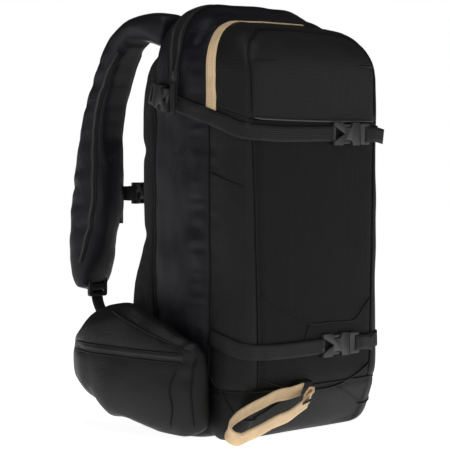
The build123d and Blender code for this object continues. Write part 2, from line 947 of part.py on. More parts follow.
with BuildPart() as blower_motor:
    shaft_y = blower_y + blower_depth - blower_wall
    with BuildSketch(Plane.XZ.offset(-shaft_y)):
        with Locations((blower_x, blower_z)):
            Circle(motor_r)
    extrude(amount=6)
    with BuildSketch(Plane.XZ.offset(-shaft_y)):
        with Locations((blower_x, blower_z)):
            Circle(impeller_bore)
    extrude(amount=blower_depth - 2 * blower_wall - 2)
finish(blower_motor, "blower_motor")

with BuildPart() as impeller:
    disc_y = shaft_y - 6 - 1
    with BuildSketch(Plane.XZ.offset(-disc_y)):
        with Locations((blower_x, blower_z)):
            Circle(impeller_r)
            Circle(impeller_bore + 0.05, mode=Mode.SUBTRACT)
    extrude(amount=2)
    with BuildSketch(Plane.XZ.offset(-disc_y + 2)):
        with Locations((blower_x, blower_z)):
            with PolarLocations(impeller_r * 0.68, blade_count):
                Rectangle(impeller_r * 0.55, 1.6, rotation=35)
            Circle(impeller_bore + 3)
            Circle(impeller_bore + 0.05, mode=Mode.SUBTRACT)
    extrude(amount=10)
finish(impeller, "impeller")

with BuildPart() as battery_case:
    add(
        block(
            (battery_x - battery_width / 2, blower_y, battery_z - battery_height / 2),
            (battery_x + battery_width / 2, blower_y + battery_depth, battery_z + battery_height / 2),
        )
    )
    fillet(battery_case.edges().filter_by(Axis.Y), radius=8)
    with BuildSketch(Plane.XZ.offset(-blower_y)):
        with Locations((battery_x, battery_z + battery_height / 2 - 16)):
            Circle(button_r + running_gap)
    extrude(amount=-button_height - 3, mode=Mode.SUBTRACT)
finish(battery_case, "battery_case")

with BuildPart() as power_button:
    with BuildSketch(Plane.XZ.offset(-blower_y + 1)):
        with Locations((battery_x, battery_z + battery_height / 2 - 16)):
            Circle(button_r)
    extrude(amount=-button_height - 1)
finish(power_button, "power_button")

# ---------------------------------------------------------------- tail loop
loop_run = Vector(0.953, -0.068, 0.295).normalized()
loop_normal = Vector(-0.1787, -0.9129, 0.3671).normalized()
loop_plane = Plane(origin=(loop_x, loop_y, loop_z), x_dir=loop_run, z_dir=loop_normal)

with BuildPart() as tail_loop:
    with BuildSketch(loop_plane.offset(-webbing / 2)):
        with BuildLine() as loop_line:
            FilletPolyline(
                (0, 0), (-66, 2), (-134, -4), (-126, -25), (-62, -27), (0, -24),
                radius=[120, 9, 9, 120],
            )
        SlotArc(loop_line.wires()[0], loop_t, mode=Mode.ADD)
    extrude(amount=webbing)
finish(tail_loop, "tail_loop")

with BuildPart() as tail_glide:
    glide_plane = Plane(
        origin=loop_plane.from_local_coords(Vector(-4, -24, 0)),
        x_dir=loop_plane.z_dir,
        z_dir=loop_plane.y_dir,
    )
    with BuildSketch(glide_plane.offset(loop_t / 2 + 0.2)):
        RectangleRounded(webbing + 8, 14, 2)
        with GridLocations(1, 6.5, 1, 2):
            Rectangle(webbing + 1, 2.4, mode=Mode.SUBTRACT)
    extrude(amount=2.4)
finish(tail_glide, "tail_glide")

with BuildPart() as tail_anchor:
    add(
        block(
            (loop_x + 6, loop_y + 3, loop_z - anchor_height / 2),
            (loop_x + 6 + anchor_width, front_y, loop_z + anchor_height / 2),
        )
    )
    fillet(tail_anchor.edges().filter_by(Axis.X).sort_by(Axis.Y)[:2], radius=3)
finish(tail_anchor, "tail_anchor")

# ---------------------------------------------------------------- export
os.makedirs("parts", exist_ok=True)
for piece in parts:
    export_step(piece, "parts/" + piece.label + ".step")
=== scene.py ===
import json
from math import cos, pi, radians, sin

import bmesh
import bpy
import numpy as np
from mathutils import Matrix, Vector, noise
from mathutils.bvhtree import BVHTree


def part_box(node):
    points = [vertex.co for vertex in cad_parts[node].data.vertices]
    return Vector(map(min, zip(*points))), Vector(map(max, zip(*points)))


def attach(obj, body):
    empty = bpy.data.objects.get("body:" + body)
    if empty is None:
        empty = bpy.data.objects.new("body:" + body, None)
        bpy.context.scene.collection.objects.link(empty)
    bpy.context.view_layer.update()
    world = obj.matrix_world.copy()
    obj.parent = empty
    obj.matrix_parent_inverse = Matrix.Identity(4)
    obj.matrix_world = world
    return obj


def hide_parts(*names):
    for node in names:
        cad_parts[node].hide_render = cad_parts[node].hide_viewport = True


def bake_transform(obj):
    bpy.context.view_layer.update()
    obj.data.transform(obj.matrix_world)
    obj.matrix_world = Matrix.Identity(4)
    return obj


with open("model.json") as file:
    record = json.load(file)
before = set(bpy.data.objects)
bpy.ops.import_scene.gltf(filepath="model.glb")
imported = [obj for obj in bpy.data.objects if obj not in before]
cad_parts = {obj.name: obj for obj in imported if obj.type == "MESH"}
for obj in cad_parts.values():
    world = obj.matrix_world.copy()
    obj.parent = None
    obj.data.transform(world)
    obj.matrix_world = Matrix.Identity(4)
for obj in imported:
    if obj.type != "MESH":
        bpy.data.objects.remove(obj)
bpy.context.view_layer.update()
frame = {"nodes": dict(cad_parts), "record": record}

scene = bpy.context.scene
nodes = frame["nodes"]


# ---------------------------------------------------------------- camera, lights and floor
def place_camera():
    """A long lens, level with the pack's upper half, at its front left corner."""
    turn = radians(-48)
    back = Vector((sin(turn), -cos(turn), 0))
    aim = Vector((-0.037, 0.041, 0.270))
    data = bpy.data.cameras.new("camera")
    data.lens = 150
    data.sensor_width = 36
    data.clip_end = 50
    camera = bpy.data.objects.new("camera", data)
    scene.collection.objects.link(camera)
    camera.location = aim + back * 2.5 + Vector((0, 0, 0.09))
    camera.rotation_euler = (aim - camera.location).to_track_quat("-Z", "Y").to_euler()
    scene.camera = camera


def area_light(name, place, aim, size, power):
    """A square soft light."""
    data = bpy.data.lights.new(name, "AREA")
    data.shape = "SQUARE"
    data.size = size
    data.energy = power
    light = bpy.data.objects.new(name, data)
    scene.collection.objects.link(light)
    light.location = place
    light.rotation_euler = (Vector(aim) - Vector(place)).to_track_quat("-Z", "Y").to_euler()


sky_light = 0.05
floor_glow = 0.95


def studio():
    """A white room: an even sky, two soft lights and a pale floor."""
    scene.view_settings.view_transform = "Standard"
    world = bpy.data.worlds.new("studio")
    scene.world = world
    world.use_nodes = True
    background = world.node_tree.nodes["Background"]
    background.inputs["Color"].default_value = (1, 1, 1, 1)
    sky = Nodes(world.node_tree)
    seen = sky.add("ShaderNodeLightPath", output="Is Camera Ray")
    level = sky.add("ShaderNodeMapRange", values={"Value": seen, "To Min": sky_light, "To Max": 1.0})
    sky.plug(background.inputs["Strength"], level)
    material = Paint("studio_floor").finish(
        Base_Color=shade(0.92), Roughness=0.9, Specular_IOR_Level=0.1,
        Emission_Color=shade(1.0), Emission_Strength=floor_glow,
    )
    bm = bmesh.new()
    bmesh.ops.create_grid(bm, x_segments=1, y_segments=1, size=12)
    floor = from_bmesh(bm, "floor", False)
    floor.data.materials.append(material)
    area_light("key_light", (-1.3, -1.1, 3.0), (0, 0, 0.3), 1.1, 46)
    area_light("front_light", (1.4, -2.2, 1.5), (0, 0, 0.3), 1.2, 5)


# ---------------------------------------------------------------- materials
class Wire:
    """A number in a material's node tree; arithmetic on it adds Math nodes."""

    def __init__(self, paint, socket):
        self.paint = paint
        self.socket = socket

    def maths(self, operation, *values):
        return self.paint.add("ShaderNodeMath", {"operation": operation}, values)

    def __add__(self, other):
        return self.maths("ADD", self, other)

    def __sub__(self, other):
        return self.maths("SUBTRACT", self, other)

    def __rsub__(self, other):
        return self.maths("SUBTRACT", other, self)

    def __mul__(self, other):
        return self.maths("MULTIPLY", self, other)

    __radd__ = __add__
    __rmul__ = __mul__

    def sine(self):
        return self.maths("SINE", self)

    def size(self):
        return self.maths("ABSOLUTE", self)

    def top(self, other):
        return self.maths("MAXIMUM", self, other)

    def clamp(self):
        return self.maths("MAXIMUM", self.maths("MINIMUM", self, 1.0), 0.0)


class Nodes:
    """A node tree: add() makes any node and plug() sets or links a socket."""

    def __init__(self, tree):
        self.tree = tree

    def plug(self, socket, value):
        if isinstance(value, Wire):
            self.tree.links.new(value.socket, socket)
        else:
            socket.default_value = value

    def add(self, kind, settings=None, values=(), output=0):
        node = self.tree.nodes.new(kind)
        for key, value in (settings or {}).items():
            setattr(node, key, value)
        pairs = values.items() if isinstance(values, dict) else enumerate(values)
        for key, value in pairs:
            self.plug(node.inputs[key], value)
        return Wire(self, node.outputs[output])


class Paint(Nodes):
    def __init__(self, name):
        self.material = bpy.data.materials.new(name)
        self.material.use_nodes = True
        super().__init__(self.material.node_tree)
        self.shader = self.tree.nodes["Principled BSDF"]

    def place(self):
        """The piece's own coordinates, as a vector."""
        return self.add("ShaderNodeTexCoord", output="Object")

    def along(self):
        """A ribbon's own run and width, in metres, as a vector."""
        return self.add("ShaderNodeUVMap", {"uv_map": "run"})

    def parts(self, vector):
        split = self.add("ShaderNodeSeparateXYZ", values=[vector])
        return [Wire(self, socket) for socket in split.socket.node.outputs]

    def noise(self, vector, scale, detail=3.0, rough=0.5, stretch=None):
        if stretch:
            vector = self.add("ShaderNodeMapping", values={"Vector": vector, "Scale": stretch})
        values = {"Vector": vector, "Scale": scale, "Detail": detail, "Roughness": rough}
        return self.add("ShaderNodeTexNoise", values=values)

    def mix(self, factor, first, second):
        values = {0: factor, 6: first, 7: second}
        return self.add("ShaderNodeMix", {"data_type": "RGBA"}, values, output=2)

    def bump(self, height, strength, distance):
        values = {"Height": height, "Strength": strength, "Distance": distance}
        return self.add("ShaderNodeBump", values=values)

    def finish(self, **sockets):
        for key, value in sockets.items():
            self.plug(self.shader.inputs[key.replace("_", " ")], value)
        return self.material


def shade(value, gain=1.0):
    """A neutral colour or a colour given in full, made lighter or darker."""
    colour = (value, value, value) if isinstance(value, (int, float)) else value
    return (*[c * gain for c in colour], 1)


def cloth_material(name, colour, rough, pitch, crinkle=0.25, ripstop=0.0, specular=0.16):
    """A woven cloth: a fine plain weave, soft crinkles, and a ripstop grid if asked for."""
    paint = Paint(name)
    place = paint.place()
    x, y, z = paint.parts(place)
    turn = 2 * pi / pitch
    rows = (z * turn).sine()
    weave = ((x + y) * turn).sine() * rows + ((x - y) * turn).sine() * rows
    cloudy = paint.noise(place, 30, 4)
    creases = paint.noise(place, 110, 5, 0.6, (1, 1, 0.5))
    height = weave * 0.1 + creases * crinkle
    tint = paint.mix(cloudy, shade(colour, 0.75), shade(colour, 1.3))
    if ripstop:
        normal = paint.add("ShaderNodeNewGeometry", output=1)
        grid = None
        for axis, facing in zip((x, y, z), paint.parts(normal)):
            line = (axis * (pi / ripstop)).sine().size()
            mask = (1 - line * 5).clamp() * (1 - facing * facing * 1.6).clamp()
            grid = mask if grid is None else grid.top(mask)
        height = height + grid * 0.5
        tint = paint.mix(grid * 0.5, tint, shade(colour, 2.2))
    return paint.finish(
        Base_Color=tint,
        Roughness=cloudy * 0.16 + (rough - 0.08),
        Normal=paint.bump(height, 0.5, 0.0008),
        Specular_IOR_Level=specular,
    )


def webbing_material(name, colour, rough=0.6):
    """Woven tape: ribs along its run and rows across it, read from the ribbon's own map."""
    paint = Paint(name)
    run, across, _ = paint.parts(paint.along())
    ribs = (across * (2 * pi / 0.0026)).sine()
    rows = (run * (2 * pi / 0.0019) + (across * (2 * pi / 0.0052)).sine() * 1.6).sine()
    worn = paint.noise(paint.place(), 60, 4)
    height = ribs * 0.5 + rows * 0.5
    blend = (ribs * 0.25 + rows * 0.3 + worn * 0.9).clamp()
    return paint.finish(
        Base_Color=paint.mix(blend, shade(colour, 0.62), shade(colour, 1.15)),
        Roughness=worn * 0.2 + (rough - 0.1),
        Normal=paint.bump(height, 0.5, 0.0004),
        Specular_IOR_Level=0.3,
    )


def plastic_material(name, colour, rough=0.42):
    """Moulded plastic: a fine spark grain and slightly polished high spots."""
    paint = Paint(name)
    place = paint.place()
    grain = paint.noise(place, 900, 2)
    worn = paint.noise(place, 90, 4)
    return paint.finish(
        Base_Color=paint.mix(worn, shade(colour, 0.8), shade(colour, 1.2)),
        Roughness=worn * 0.16 + (rough - 0.08),
        Normal=paint.bump(grain, 0.12, 0.0002),
        Specular_IOR_Level=0.45,
    )


def mesh_material(name, colour):
    """Spacer mesh: rows of small holes over foam."""
    paint = Paint(name)
    values = {"Vector": paint.place(), "Scale": 420.0, "Randomness": 0.25}
    cells = paint.add("ShaderNodeTexVoronoi", {"feature": "DISTANCE_TO_EDGE"}, values)
    walls = (1 - cells * 7).clamp()
    return paint.finish(
        Base_Color=paint.mix(walls, shade(colour, 0.35), shade(colour)),
        Roughness=walls * 0.15 + 0.62,
        Normal=paint.bump(walls, 0.6, 0.0008),
        Specular_IOR_Level=0.25,
    )


def zip_material(name):
    """A coil zip on tape: teeth across the middle, woven tape each side."""
    paint = Paint(name)
    run, across, _ = paint.parts(paint.along())
    middle = (3 - across.size() * 1400).clamp()
    teeth = (run * (2 * pi / 0.0018)).sine()
    tape = (run * (2 * pi / 0.0009)).sine() * (across * (2 * pi / 0.0009)).sine()
    height = middle * (teeth * 0.5 + 1) + tape * 0.1
    return paint.finish(
        Base_Color=paint.mix(middle * (teeth * 0.5 + 0.5), shade(0.006), shade(0.03)),
        Roughness=middle * -0.2 + 0.6,
        Normal=paint.bump(height, 0.8, 0.0008),
        Specular_IOR_Level=0.35,
    )


def metal_material(name, colour, rough):
    """Metal with fine brushed variation."""
    paint = Paint(name)
    worn = paint.noise(paint.place(), 200, 4, 0.6, (1, 1, 6))
    return paint.finish(
        Base_Color=paint.mix(worn, shade(colour, 0.8), shade(colour)),
        Roughness=worn * 0.2 + (rough - 0.1),
        Metallic=1.0,
        Normal=paint.bump(worn, 0.1, 0.0002),
    )


finishes = {
    "base_cloth": cloth_material("boot_cloth", 0.0075, 0.5, 0.0012, crinkle=0.2),
    "front_twill": cloth_material("front_twill", 0.006, 0.6, 0.0011, crinkle=0.12, specular=0.13),
    "front_coated": cloth_material("front_coated", 0.011, 0.5, 0.0011, crinkle=0.12, ripstop=0.005),
    "ripstop": cloth_material("gusset_ripstop", 0.0085, 0.46, 0.0011, crinkle=0.35, ripstop=0.005),
    "side_nylon": cloth_material(
        "side_nylon", (0.006, 0.0063, 0.009), 0.36, 0.0008, crinkle=0.6, specular=0.2),
    "lining": cloth_material("lining", 0.11, 0.6, 0.001),
    "back_mesh": mesh_material("back_mesh", 0.02),
    "frame_plastic": plastic_material("frame_sheet", 0.55, 0.5),
    "stay_alloy": metal_material("stay_alloy", 0.75, 0.35),
    "strap_mesh": mesh_material("strap_mesh", 0.016),
    "strap_nylon": cloth_material(
        "strap_nylon", (0.0065, 0.0068, 0.009), 0.4, 0.0009, crinkle=0.4, specular=0.22),
    "black_webbing": webbing_material("black_webbing", 0.006),
    "tan_webbing": webbing_material("tan_webbing", (0.78, 0.57, 0.34), 0.65),
    "grey_plastic": plastic_material("grey_acetal", (0.018, 0.0185, 0.02)),
    "black_plastic": plastic_material("black_acetal", (0.011, 0.011, 0.012)),
    "hip_cloth": cloth_material("hip_cloth", 0.0075, 0.42, 0.001, crinkle=0.3, specular=0.22),
    "zip_tape": zip_material("zip_tape"),
    "zip_metal": plastic_material("zip_slider", 0.02, 0.3),
    "airbag_cloth": cloth_material("airbag_cloth", (0.62, 0.13, 0.04), 0.4, 0.001),
    "motor_metal": metal_material("motor_can", 0.55, 0.3),
    "fan_plastic": plastic_material("fan", 0.25),
    "handle_plastic": plastic_material("handle", (0.55, 0.08, 0.03), 0.4),
}
hem_edge = plastic_material("hem_edge", 0.05, 0.5)
welt_cloth = cloth_material("welt_cloth", 0.007, 0.5, 0.0009)
sewn_webbing = cloth_material("sewn_webbing", 0.006, 0.6, 0.0022)


# ---------------------------------------------------------------- pieces
def middle(node):
    """The middle of a node's box."""
    return [(low + high) / 2 for low, high in zip(*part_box(node))]


def along_line(way, line):
    """One direction, given for every point of a line."""
    return np.tile(way, (len(line), 1))


def keep(obj, body, slot, *replaced, material=None):
    """Finishes a piece: material, record's slot, body (none leaves it unattached) and nodes replaced."""
    obj.data.materials.clear()
    obj.data.materials.append(material or finishes[slot])
    if body:
        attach(obj, body)
    if replaced:
        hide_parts(*replaced)
    return obj


def from_bmesh(bm, name, smooth=True):
    """A mesh object from a bmesh."""
    mesh = bpy.data.meshes.new(name)
    bm.to_mesh(mesh)
    bm.free()
    obj = bpy.data.objects.new(name, mesh)
    scene.collection.objects.link(obj)
    mesh.polygons.foreach_set("use_smooth", [smooth] * len(mesh.polygons))
    return obj


def coords_of(bm):
    return np.array([v.co for v in bm.verts])


def move_to(bm, points):
    for vert, point in zip(bm.verts, points):
        vert.co = point


def solidify(obj, thickness, offset=-1.0):
    wall = obj.modifiers.new("wall", "SOLIDIFY")
    wall.thickness = thickness
    wall.offset = offset
    return obj


def subdivide(obj, levels=1):
    smooth = obj.modifiers.new("smooth", "SUBSURF")
    smooth.levels = levels
    smooth.render_levels = levels
    return obj


def unit(vectors):
    return vectors / np.maximum(np.linalg.norm(vectors, axis=-1, keepdims=True), 1e-9)


def spline(points, spacing=0.004):
    """A smooth curve through points, as evenly spaced points along it."""
    p = np.asarray(points, float)
    if len(p) < 3:
        p = np.array([p[0], (p[0] + p[1]) / 2, p[1]])
    steps = np.linalg.norm(np.diff(p, axis=0), axis=1)
    knots = np.concatenate([[0], np.cumsum(steps)])
    slope = np.gradient(p, knots, axis=0)
    s = np.linspace(0, knots[-1], max(8, 4 * int(knots[-1] / spacing)))
    i = np.clip(np.searchsorted(knots, s, side="right") - 1, 0, len(p) - 2)
    width = knots[i + 1] - knots[i]
    t = ((s - knots[i]) / width)[:, None]
    width = width[:, None]
    curve = (
        (2 * t ** 3 - 3 * t ** 2 + 1) * p[i] + (t ** 3 - 2 * t ** 2 + t) * width * slope[i]
        + (3 * t ** 2 - 2 * t ** 3) * p[i + 1] + (t ** 3 - t ** 2) * width * slope[i + 1]
    )
    return evenly(curve, spacing)


def evenly(curve, spacing):
    """Points evenly spaced along a finely sampled line."""
    steps = np.linalg.norm(np.diff(curve, axis=0), axis=1)
    run = np.concatenate([[0], np.cumsum(steps)])
    count = max(4, int(round(run[-1] / spacing)) + 1)
    s = np.linspace(0, run[-1], count)
    return np.stack([np.interp(s, run, curve[:, k]) for k in range(curve.shape[1])], axis=1)


def mapped_grid(columns, rows, place, lengths=None, merge=0.0):
    """A grid of columns by rows points, each moved to place(column, row); its UV map is in metres."""
    bm = bmesh.new()
    bmesh.ops.create_grid(bm, x_segments=columns - 1, y_segments=rows - 1, size=0.5)
    flat = coords_of(bm)[:, :2] + 0.5
    if lengths:
        layer = bm.loops.layers.uv.new("run")
        for face in bm.faces:
            for loop in face.loops:
                co = loop.vert.co
                loop[layer].uv = ((co.x + 0.5) * lengths[0], co.y * lengths[1])
    column = np.rint(flat[:, 0] * (columns - 1)).astype(int)
    row = np.rint(flat[:, 1] * (rows - 1)).astype(int)
    move_to(bm, place(column, row))
    if merge:
        bmesh.ops.remove_doubles(bm, verts=bm.verts, dist=merge)
    return bm


def length_of(line):
    return float(np.linalg.norm(np.diff(line, axis=0), axis=1).sum())


def ribbon(name, line, normals, width, thickness, body, slot, *replaced, rows=5, crown=0.0):
    """A tape along a line, its face turned to the normals, a little crowned across."""
    line = np.asarray(line, float)
    tangent = unit(np.gradient(line, axis=0))
    normals = unit(normals - (normals * tangent).sum(1, keepdims=True) * tangent)
    across = np.cross(normals, tangent)

    def place(column, row):
        share = row / (rows - 1) - 0.5
        lift = crown * (1 - 4 * share ** 2)
        return line[column] + across[column] * (share * width)[:, None] + normals[column] * lift[:, None]

    bm = mapped_grid(len(line), rows, place, (length_of(line), width))
    obj = solidify(from_bmesh(bm, name), thickness, 0.0)
    return keep(obj, body, slot, *replaced)


def tube(name, line, radius, body, slot, *replaced, sides=8, flat=1.0, up=None, material=None):
    """A round or flattened welt along a line."""
    line = np.asarray(line, float)
    count = len(line)
    tangent = unit(np.gradient(line, axis=0))
    guide = np.tile((0.0, 0.0, 1.0), (count, 1)) if up is None else up
    first = unit(guide - (guide * tangent).sum(1, keepdims=True) * tangent)
    second = np.cross(tangent, first)
    ends = np.minimum(np.arange(count), np.arange(count)[::-1])
    size = radius * np.where(ends == 0, 0.05, np.where(ends == 1, 0.8, 1.0))

    def place(column, row):
        turn = -2 * pi * row / sides
        a = first[column] * (np.cos(turn) * size[column] * flat)[:, None]
        b = second[column] * (np.sin(turn) * size[column])[:, None]
        return line[column] + a + b

    bm = mapped_grid(count, sides + 1, place, (length_of(line), radius * 6), 1e-6)
    if not material and slot == "black_webbing":
        material = welt_cloth
    return keep(from_bmesh(bm, name), body, slot, *replaced, material=material)


def copy_of(node):
    """A node's mesh as a bmesh, with its points merged."""
    bm = bmesh.new()
    bm.from_mesh(nodes[node].data)
    bmesh.ops.remove_doubles(bm, verts=bm.verts, dist=1e-5)
    return bm


def moulded(node, body, slot, edge=0.0008):
    """A moulded piece with the node's shape and softened edges."""
    bm = copy_of(node)
    bmesh.ops.dissolve_limit(bm, angle_limit=radians(1), verts=bm.verts, edges=bm.edges)
    bmesh.ops.recalc_face_normals(bm, faces=bm.faces)
    obj = from_bmesh(bm, node + "_moulded")
    soft = obj.modifiers.new("edge", "BEVEL")
    soft.width = edge
    soft.segments = 2
    soft.limit_method = "ANGLE"
    soft.angle_limit = radians(35)
    soft.harden_normals = True
    return keep(obj, body, slot, node, material=sewn_webbing if slot == "black_webbing" else None)


def applied(obj):
    """The object's mesh with its modifiers applied, kept in place."""
    seen = obj.evaluated_get(bpy.context.evaluated_depsgraph_get())
    mesh = bpy.data.meshes.new_from_object(seen)
    obj.modifiers.clear()
    obj.data = mesh
    return obj


def remeshed(obj, voxel):
    cells = obj.modifiers.new("cells", "REMESH")
    cells.mode = "VOXEL"
    cells.voxel_size = voxel
    cells.use_smooth_shade = True
    return applied(obj)


def puffed(obj, pressure=4.0, cap=0.006, stiff=12.0):
    """Blows a closed pad up as sewn cloth, each point moving no further than the cap."""
    start = np.array([v.co for v in obj.data.vertices])
    cloth = obj.modifiers.new("cloth", "CLOTH")
    cloth.settings.use_pressure = True
    cloth.settings.uniform_pressure_force = pressure
    cloth.settings.effector_weights.gravity = 0
    cloth.settings.quality = 5
    cloth.settings.tension_stiffness = stiff
    cloth.settings.compression_stiffness = stiff
    for step in range(1, 21):
        scene.frame_set(step)
    seen = obj.evaluated_get(bpy.context.evaluated_depsgraph_get())
    moved = np.array([v.co for v in seen.data.vertices])
    shift = moved - start
    far = np.linalg.norm(shift, axis=1, keepdims=True)
    shift *= np.minimum(1, cap / np.maximum(far, 1e-9))
    obj.modifiers.clear()
    scene.frame_set(1)
    obj.data.vertices.foreach_set("co", (start + shift).ravel())
    obj.data.update()
    return obj


def wave(points, scale, seed, stretch=(1, 1, 1)):
    """Smooth noise at each point, between about -1 and 1."""
    shift = Vector((seed * 7.3, seed * 3.1, seed * 1.7))
    scaled = points * np.array(stretch) * scale
    return np.array([noise.noise(Vector(p) + shift) for p in scaled])


def dip(distance, width):
    return np.exp(-((distance / width) ** 2))


# ---------------------------------------------------------------- the bag's shape
front_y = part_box("pocket_front")[0].y
back_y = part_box("back_panel")[1].y
pocket_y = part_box("pocket_divider")[1].y
boot_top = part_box("bag_bottom")[1].z
cap_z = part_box("main_lid")[0].z
flap_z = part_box("airbag_flap")[0].z
ridge_y = 0.040
ridge_z = 0.562
crown_fall = 0.40625
back_fall = 0.565
lid_z = 0.408
lid_slope = 0.325


def soft_max(a, b, width):
    """The larger of two distances, eased where they are nearly equal."""
    return np.maximum(a, b) + width * np.log1p(np.exp(-np.abs(a - b) / width))


def rounded(a, b, radius):
    """Two distances joined with a rounded edge."""
    ea = np.maximum(a + radius, 0)
    eb = np.maximum(b + radius, 0)
    return np.where((ea > 0) & (eb > 0), (ea ** 3 + eb ** 3) ** (1 / 3) - radius, np.maximum(a, b))


def top_height(y):
    """Height of the bag's top along its middle."""
    rise = ridge_z - crown_fall * (ridge_y - y)
    fall = ridge_z - back_fall * (y - ridge_y)
    return -soft_max(-rise, -fall, 0.008)


def bag_distance(p):
    """Distance from the bag's smooth outside, negative inside."""
    x, y, z = np.abs(p[:, 0]), p[:, 1], p[:, 2]
    gusset = 0.9892 * x - 0.1463 * y - 0.1500 + 0.002 * np.exp(-((z - 0.22) / 0.07) ** 2)
    side = 0.9834 * x + 0.1812 * y - 0.1472
    flank = soft_max(gusset, side, 0.004)
    boot = -0.9113 * y - 0.4116 * z - 0.0547
    front = soft_max(front_y - y, boot, 0.006)
    ahead = np.maximum(ridge_y - y, 0)
    half = 0.151 - 0.065 * ahead
    radius = 0.088 - 0.30 * ahead
    across = x - half + radius
    above = z - top_height(y) + radius
    crown = np.hypot(np.maximum(across, 0), np.maximum(above, 0)) - radius
    crown = np.maximum(crown, np.minimum(np.maximum(across, above), 0) - radius)
    shape = rounded(flank, front, 0.010)
    shape = rounded(shape, crown, 0.042)
    shape = rounded(shape, y - back_y, 0.026)
    return rounded(shape, -z, 0.030)


def bag_normal(p):
    step = 0.0008
    n = np.stack([bag_distance(p + a) - bag_distance(p - a) for a in np.eye(3) * step], axis=1)
    return unit(n)


def on_bag(points):
    """Points moved along lines from the bag's core until they lie on its outside."""
    points = np.asarray(points, float)
    core = np.clip(points, (-0.085, -0.052, 0.10), (0.085, 0.05, 0.44))
    ray = unit(points - core)
    low = np.zeros(len(points))
    high = np.full(len(points), 0.3)
    for _ in range(30):
        mid = (low + high) / 2
        out = bag_distance(core + ray * mid[:, None]) > 0
        high = np.where(out, mid, high)
        low = np.where(out, low, mid)
    return core + ray * low[:, None]


def face_edge(p):
    """Distance outside the outline of the front face, which is arched over the top."""
    x, y, z = np.abs(p[:, 0]), p[:, 1], p[:, 2]
    sides = x - 0.1115 - 0.03 * z
    shoulder = 0.866 * (x - 0.118) + 0.5 * (z - 0.502)
    brow = 0.5 * (x - 0.094) + 0.866 * (z - 0.519)
    return np.maximum.reduce([sides, shoulder, brow, y + 0.058])


face_planes = [
    ((0.1115, 0, 0), (1, 0, -0.03)), ((-0.1115, 0, 0), (-1, 0, -0.03)),
    ((0.118, 0, 0.502), (0.866, 0, 0.5)), ((-0.118, 0, 0.502), (-0.866, 0, 0.5)),
    ((0.094, 0, 0.519), (0.5, 0, 0.866)), ((-0.094, 0, 0.519), (-0.5, 0, 0.866)),
    ((0, -0.058, 0), (0, 1, 0)),
]


def cloth_relief(p):
    """How far the sewn cloth stands off the smooth bag: seams pulled in, panels full, small folds."""
    x, y, z = np.abs(p[:, 0]), p[:, 1], p[:, 2]
    behind = np.clip((y - pocket_y) / 0.02, 0, 1)
    upper = np.clip((z - 0.36) / 0.12, 0, 1)
    edge = face_edge(p)
    relief = -0.0030 * dip(y - pocket_y, 0.006)
    relief -= 0.0018 * dip(z - boot_top, 0.006) * (y < 0.08)
    relief -= 0.0016 * dip(edge, 0.005) * (z > boot_top)
    relief += 0.0035 * dip(y - 0.5 * (pocket_y + front_y), 0.022) * (edge > 0)
    relief += 0.0030 * behind * dip(y - 0.03, 0.035)
    pucker = wave(p, 1, 3, (5, 8, 120))
    relief += 0.0034 * pucker * dip(y - pocket_y - 0.011, 0.014) * behind
    relief += 0.0012 * wave(p, 1, 5, (8, 12, 110)) * dip(y - pocket_y + 0.008, 0.009) * (1 - behind)
    slant = np.stack([p[:, 0], y * 34 + z * 16, z * 9 - y * 9], axis=1)
    relief += 0.0034 * wave(slant, 1, 9, (6, 1, 1)) * behind
    relief += 0.0020 * wave(slant, 1, 17, (9, 2.2, 2.0)) * behind * upper
    relief += 0.0012 * wave(p, 1, 12, (30, 55, 26)) * behind
    relief += 0.0016 * wave(p, 1, 14, (12, 26, 18)) * (1 - behind) * (0.35 + np.clip(edge / 0.02, 0, 1))
    fullness = np.cos(np.clip(x / 0.118, 0, 1) * pi / 2)
    relief += np.where(edge < 0, 0.0045 * fullness, 0)
    return relief


def bag_surface(points, proud=0.0):
    """Points on the sewn bag's outside, and its smooth normals there."""
    p = on_bag(points)
    n = bag_normal(p)
    return p + n * (cloth_relief(p) + proud)[:, None], n


def bag_skin(spacing=0.0042):
    """The whole sewn outside as one closed mesh."""
    half = Vector((0.140, 0.087, 0.272))
    centre = Vector((0, 0, half.z))
    quarter = pi / 2
    bm = bmesh.new()
    sides = []
    for sign in (-1, 1):
        sides.append((half.z, half.y, (sign * half.x, 0, 0), Matrix.Rotation(sign * quarter, 4, "Y")))
        sides.append((half.x, half.z, (0, sign * half.y, 0), Matrix.Rotation(-sign * quarter, 4, "X")))
        sides.append((half.x, half.y, (0, 0, sign * half.z), Matrix.Identity(4)))
    for across, up, place, turn in sides:
        matrix = Matrix.Translation(centre + Vector(place)) @ turn @ Matrix.Diagonal((across, up, 1, 1))
        bmesh.ops.create_grid(
            bm, x_segments=round(2 * across / spacing), y_segments=round(2 * up / spacing),
            size=1, matrix=matrix,
        )
    bmesh.ops.remove_doubles(bm, verts=bm.verts, dist=0.0002)
    move_to(bm, bag_surface(coords_of(bm))[0])
    bmesh.ops.recalc_face_normals(bm, faces=bm.faces)
    return bm


skin = bag_skin()


def everything(bm):
    return bm.verts[:] + bm.edges[:] + bm.faces[:]


def panel(name, body, slot, cuts, *replaced, holes=(), thickness=0.002):
    """A panel of the bag: the skin inside every cut, less the part of it inside each hole."""
    bm = skin.copy()
    for point, normal in cuts:
        bmesh.ops.bisect_plane(
            bm, geom=everything(bm), plane_co=point, plane_no=normal, clear_outer=True
        )
    for planes in holes:
        for point, normal in planes:
            bmesh.ops.bisect_plane(bm, geom=everything(bm), plane_co=point, plane_no=normal)
        doomed = []
        for face in bm.faces:
            middle = face.calc_center_median()
            if all((middle - Vector(c)).dot(Vector(n)) < 0 for c, n in planes):
                doomed.append(face)
        bmesh.ops.delete(bm, geom=doomed, context="FACES")
    rims = rim_lines(bm)
    obj = solidify(from_bmesh(bm, name), thickness)
    keep(obj, body, slot, *replaced)
    return rims


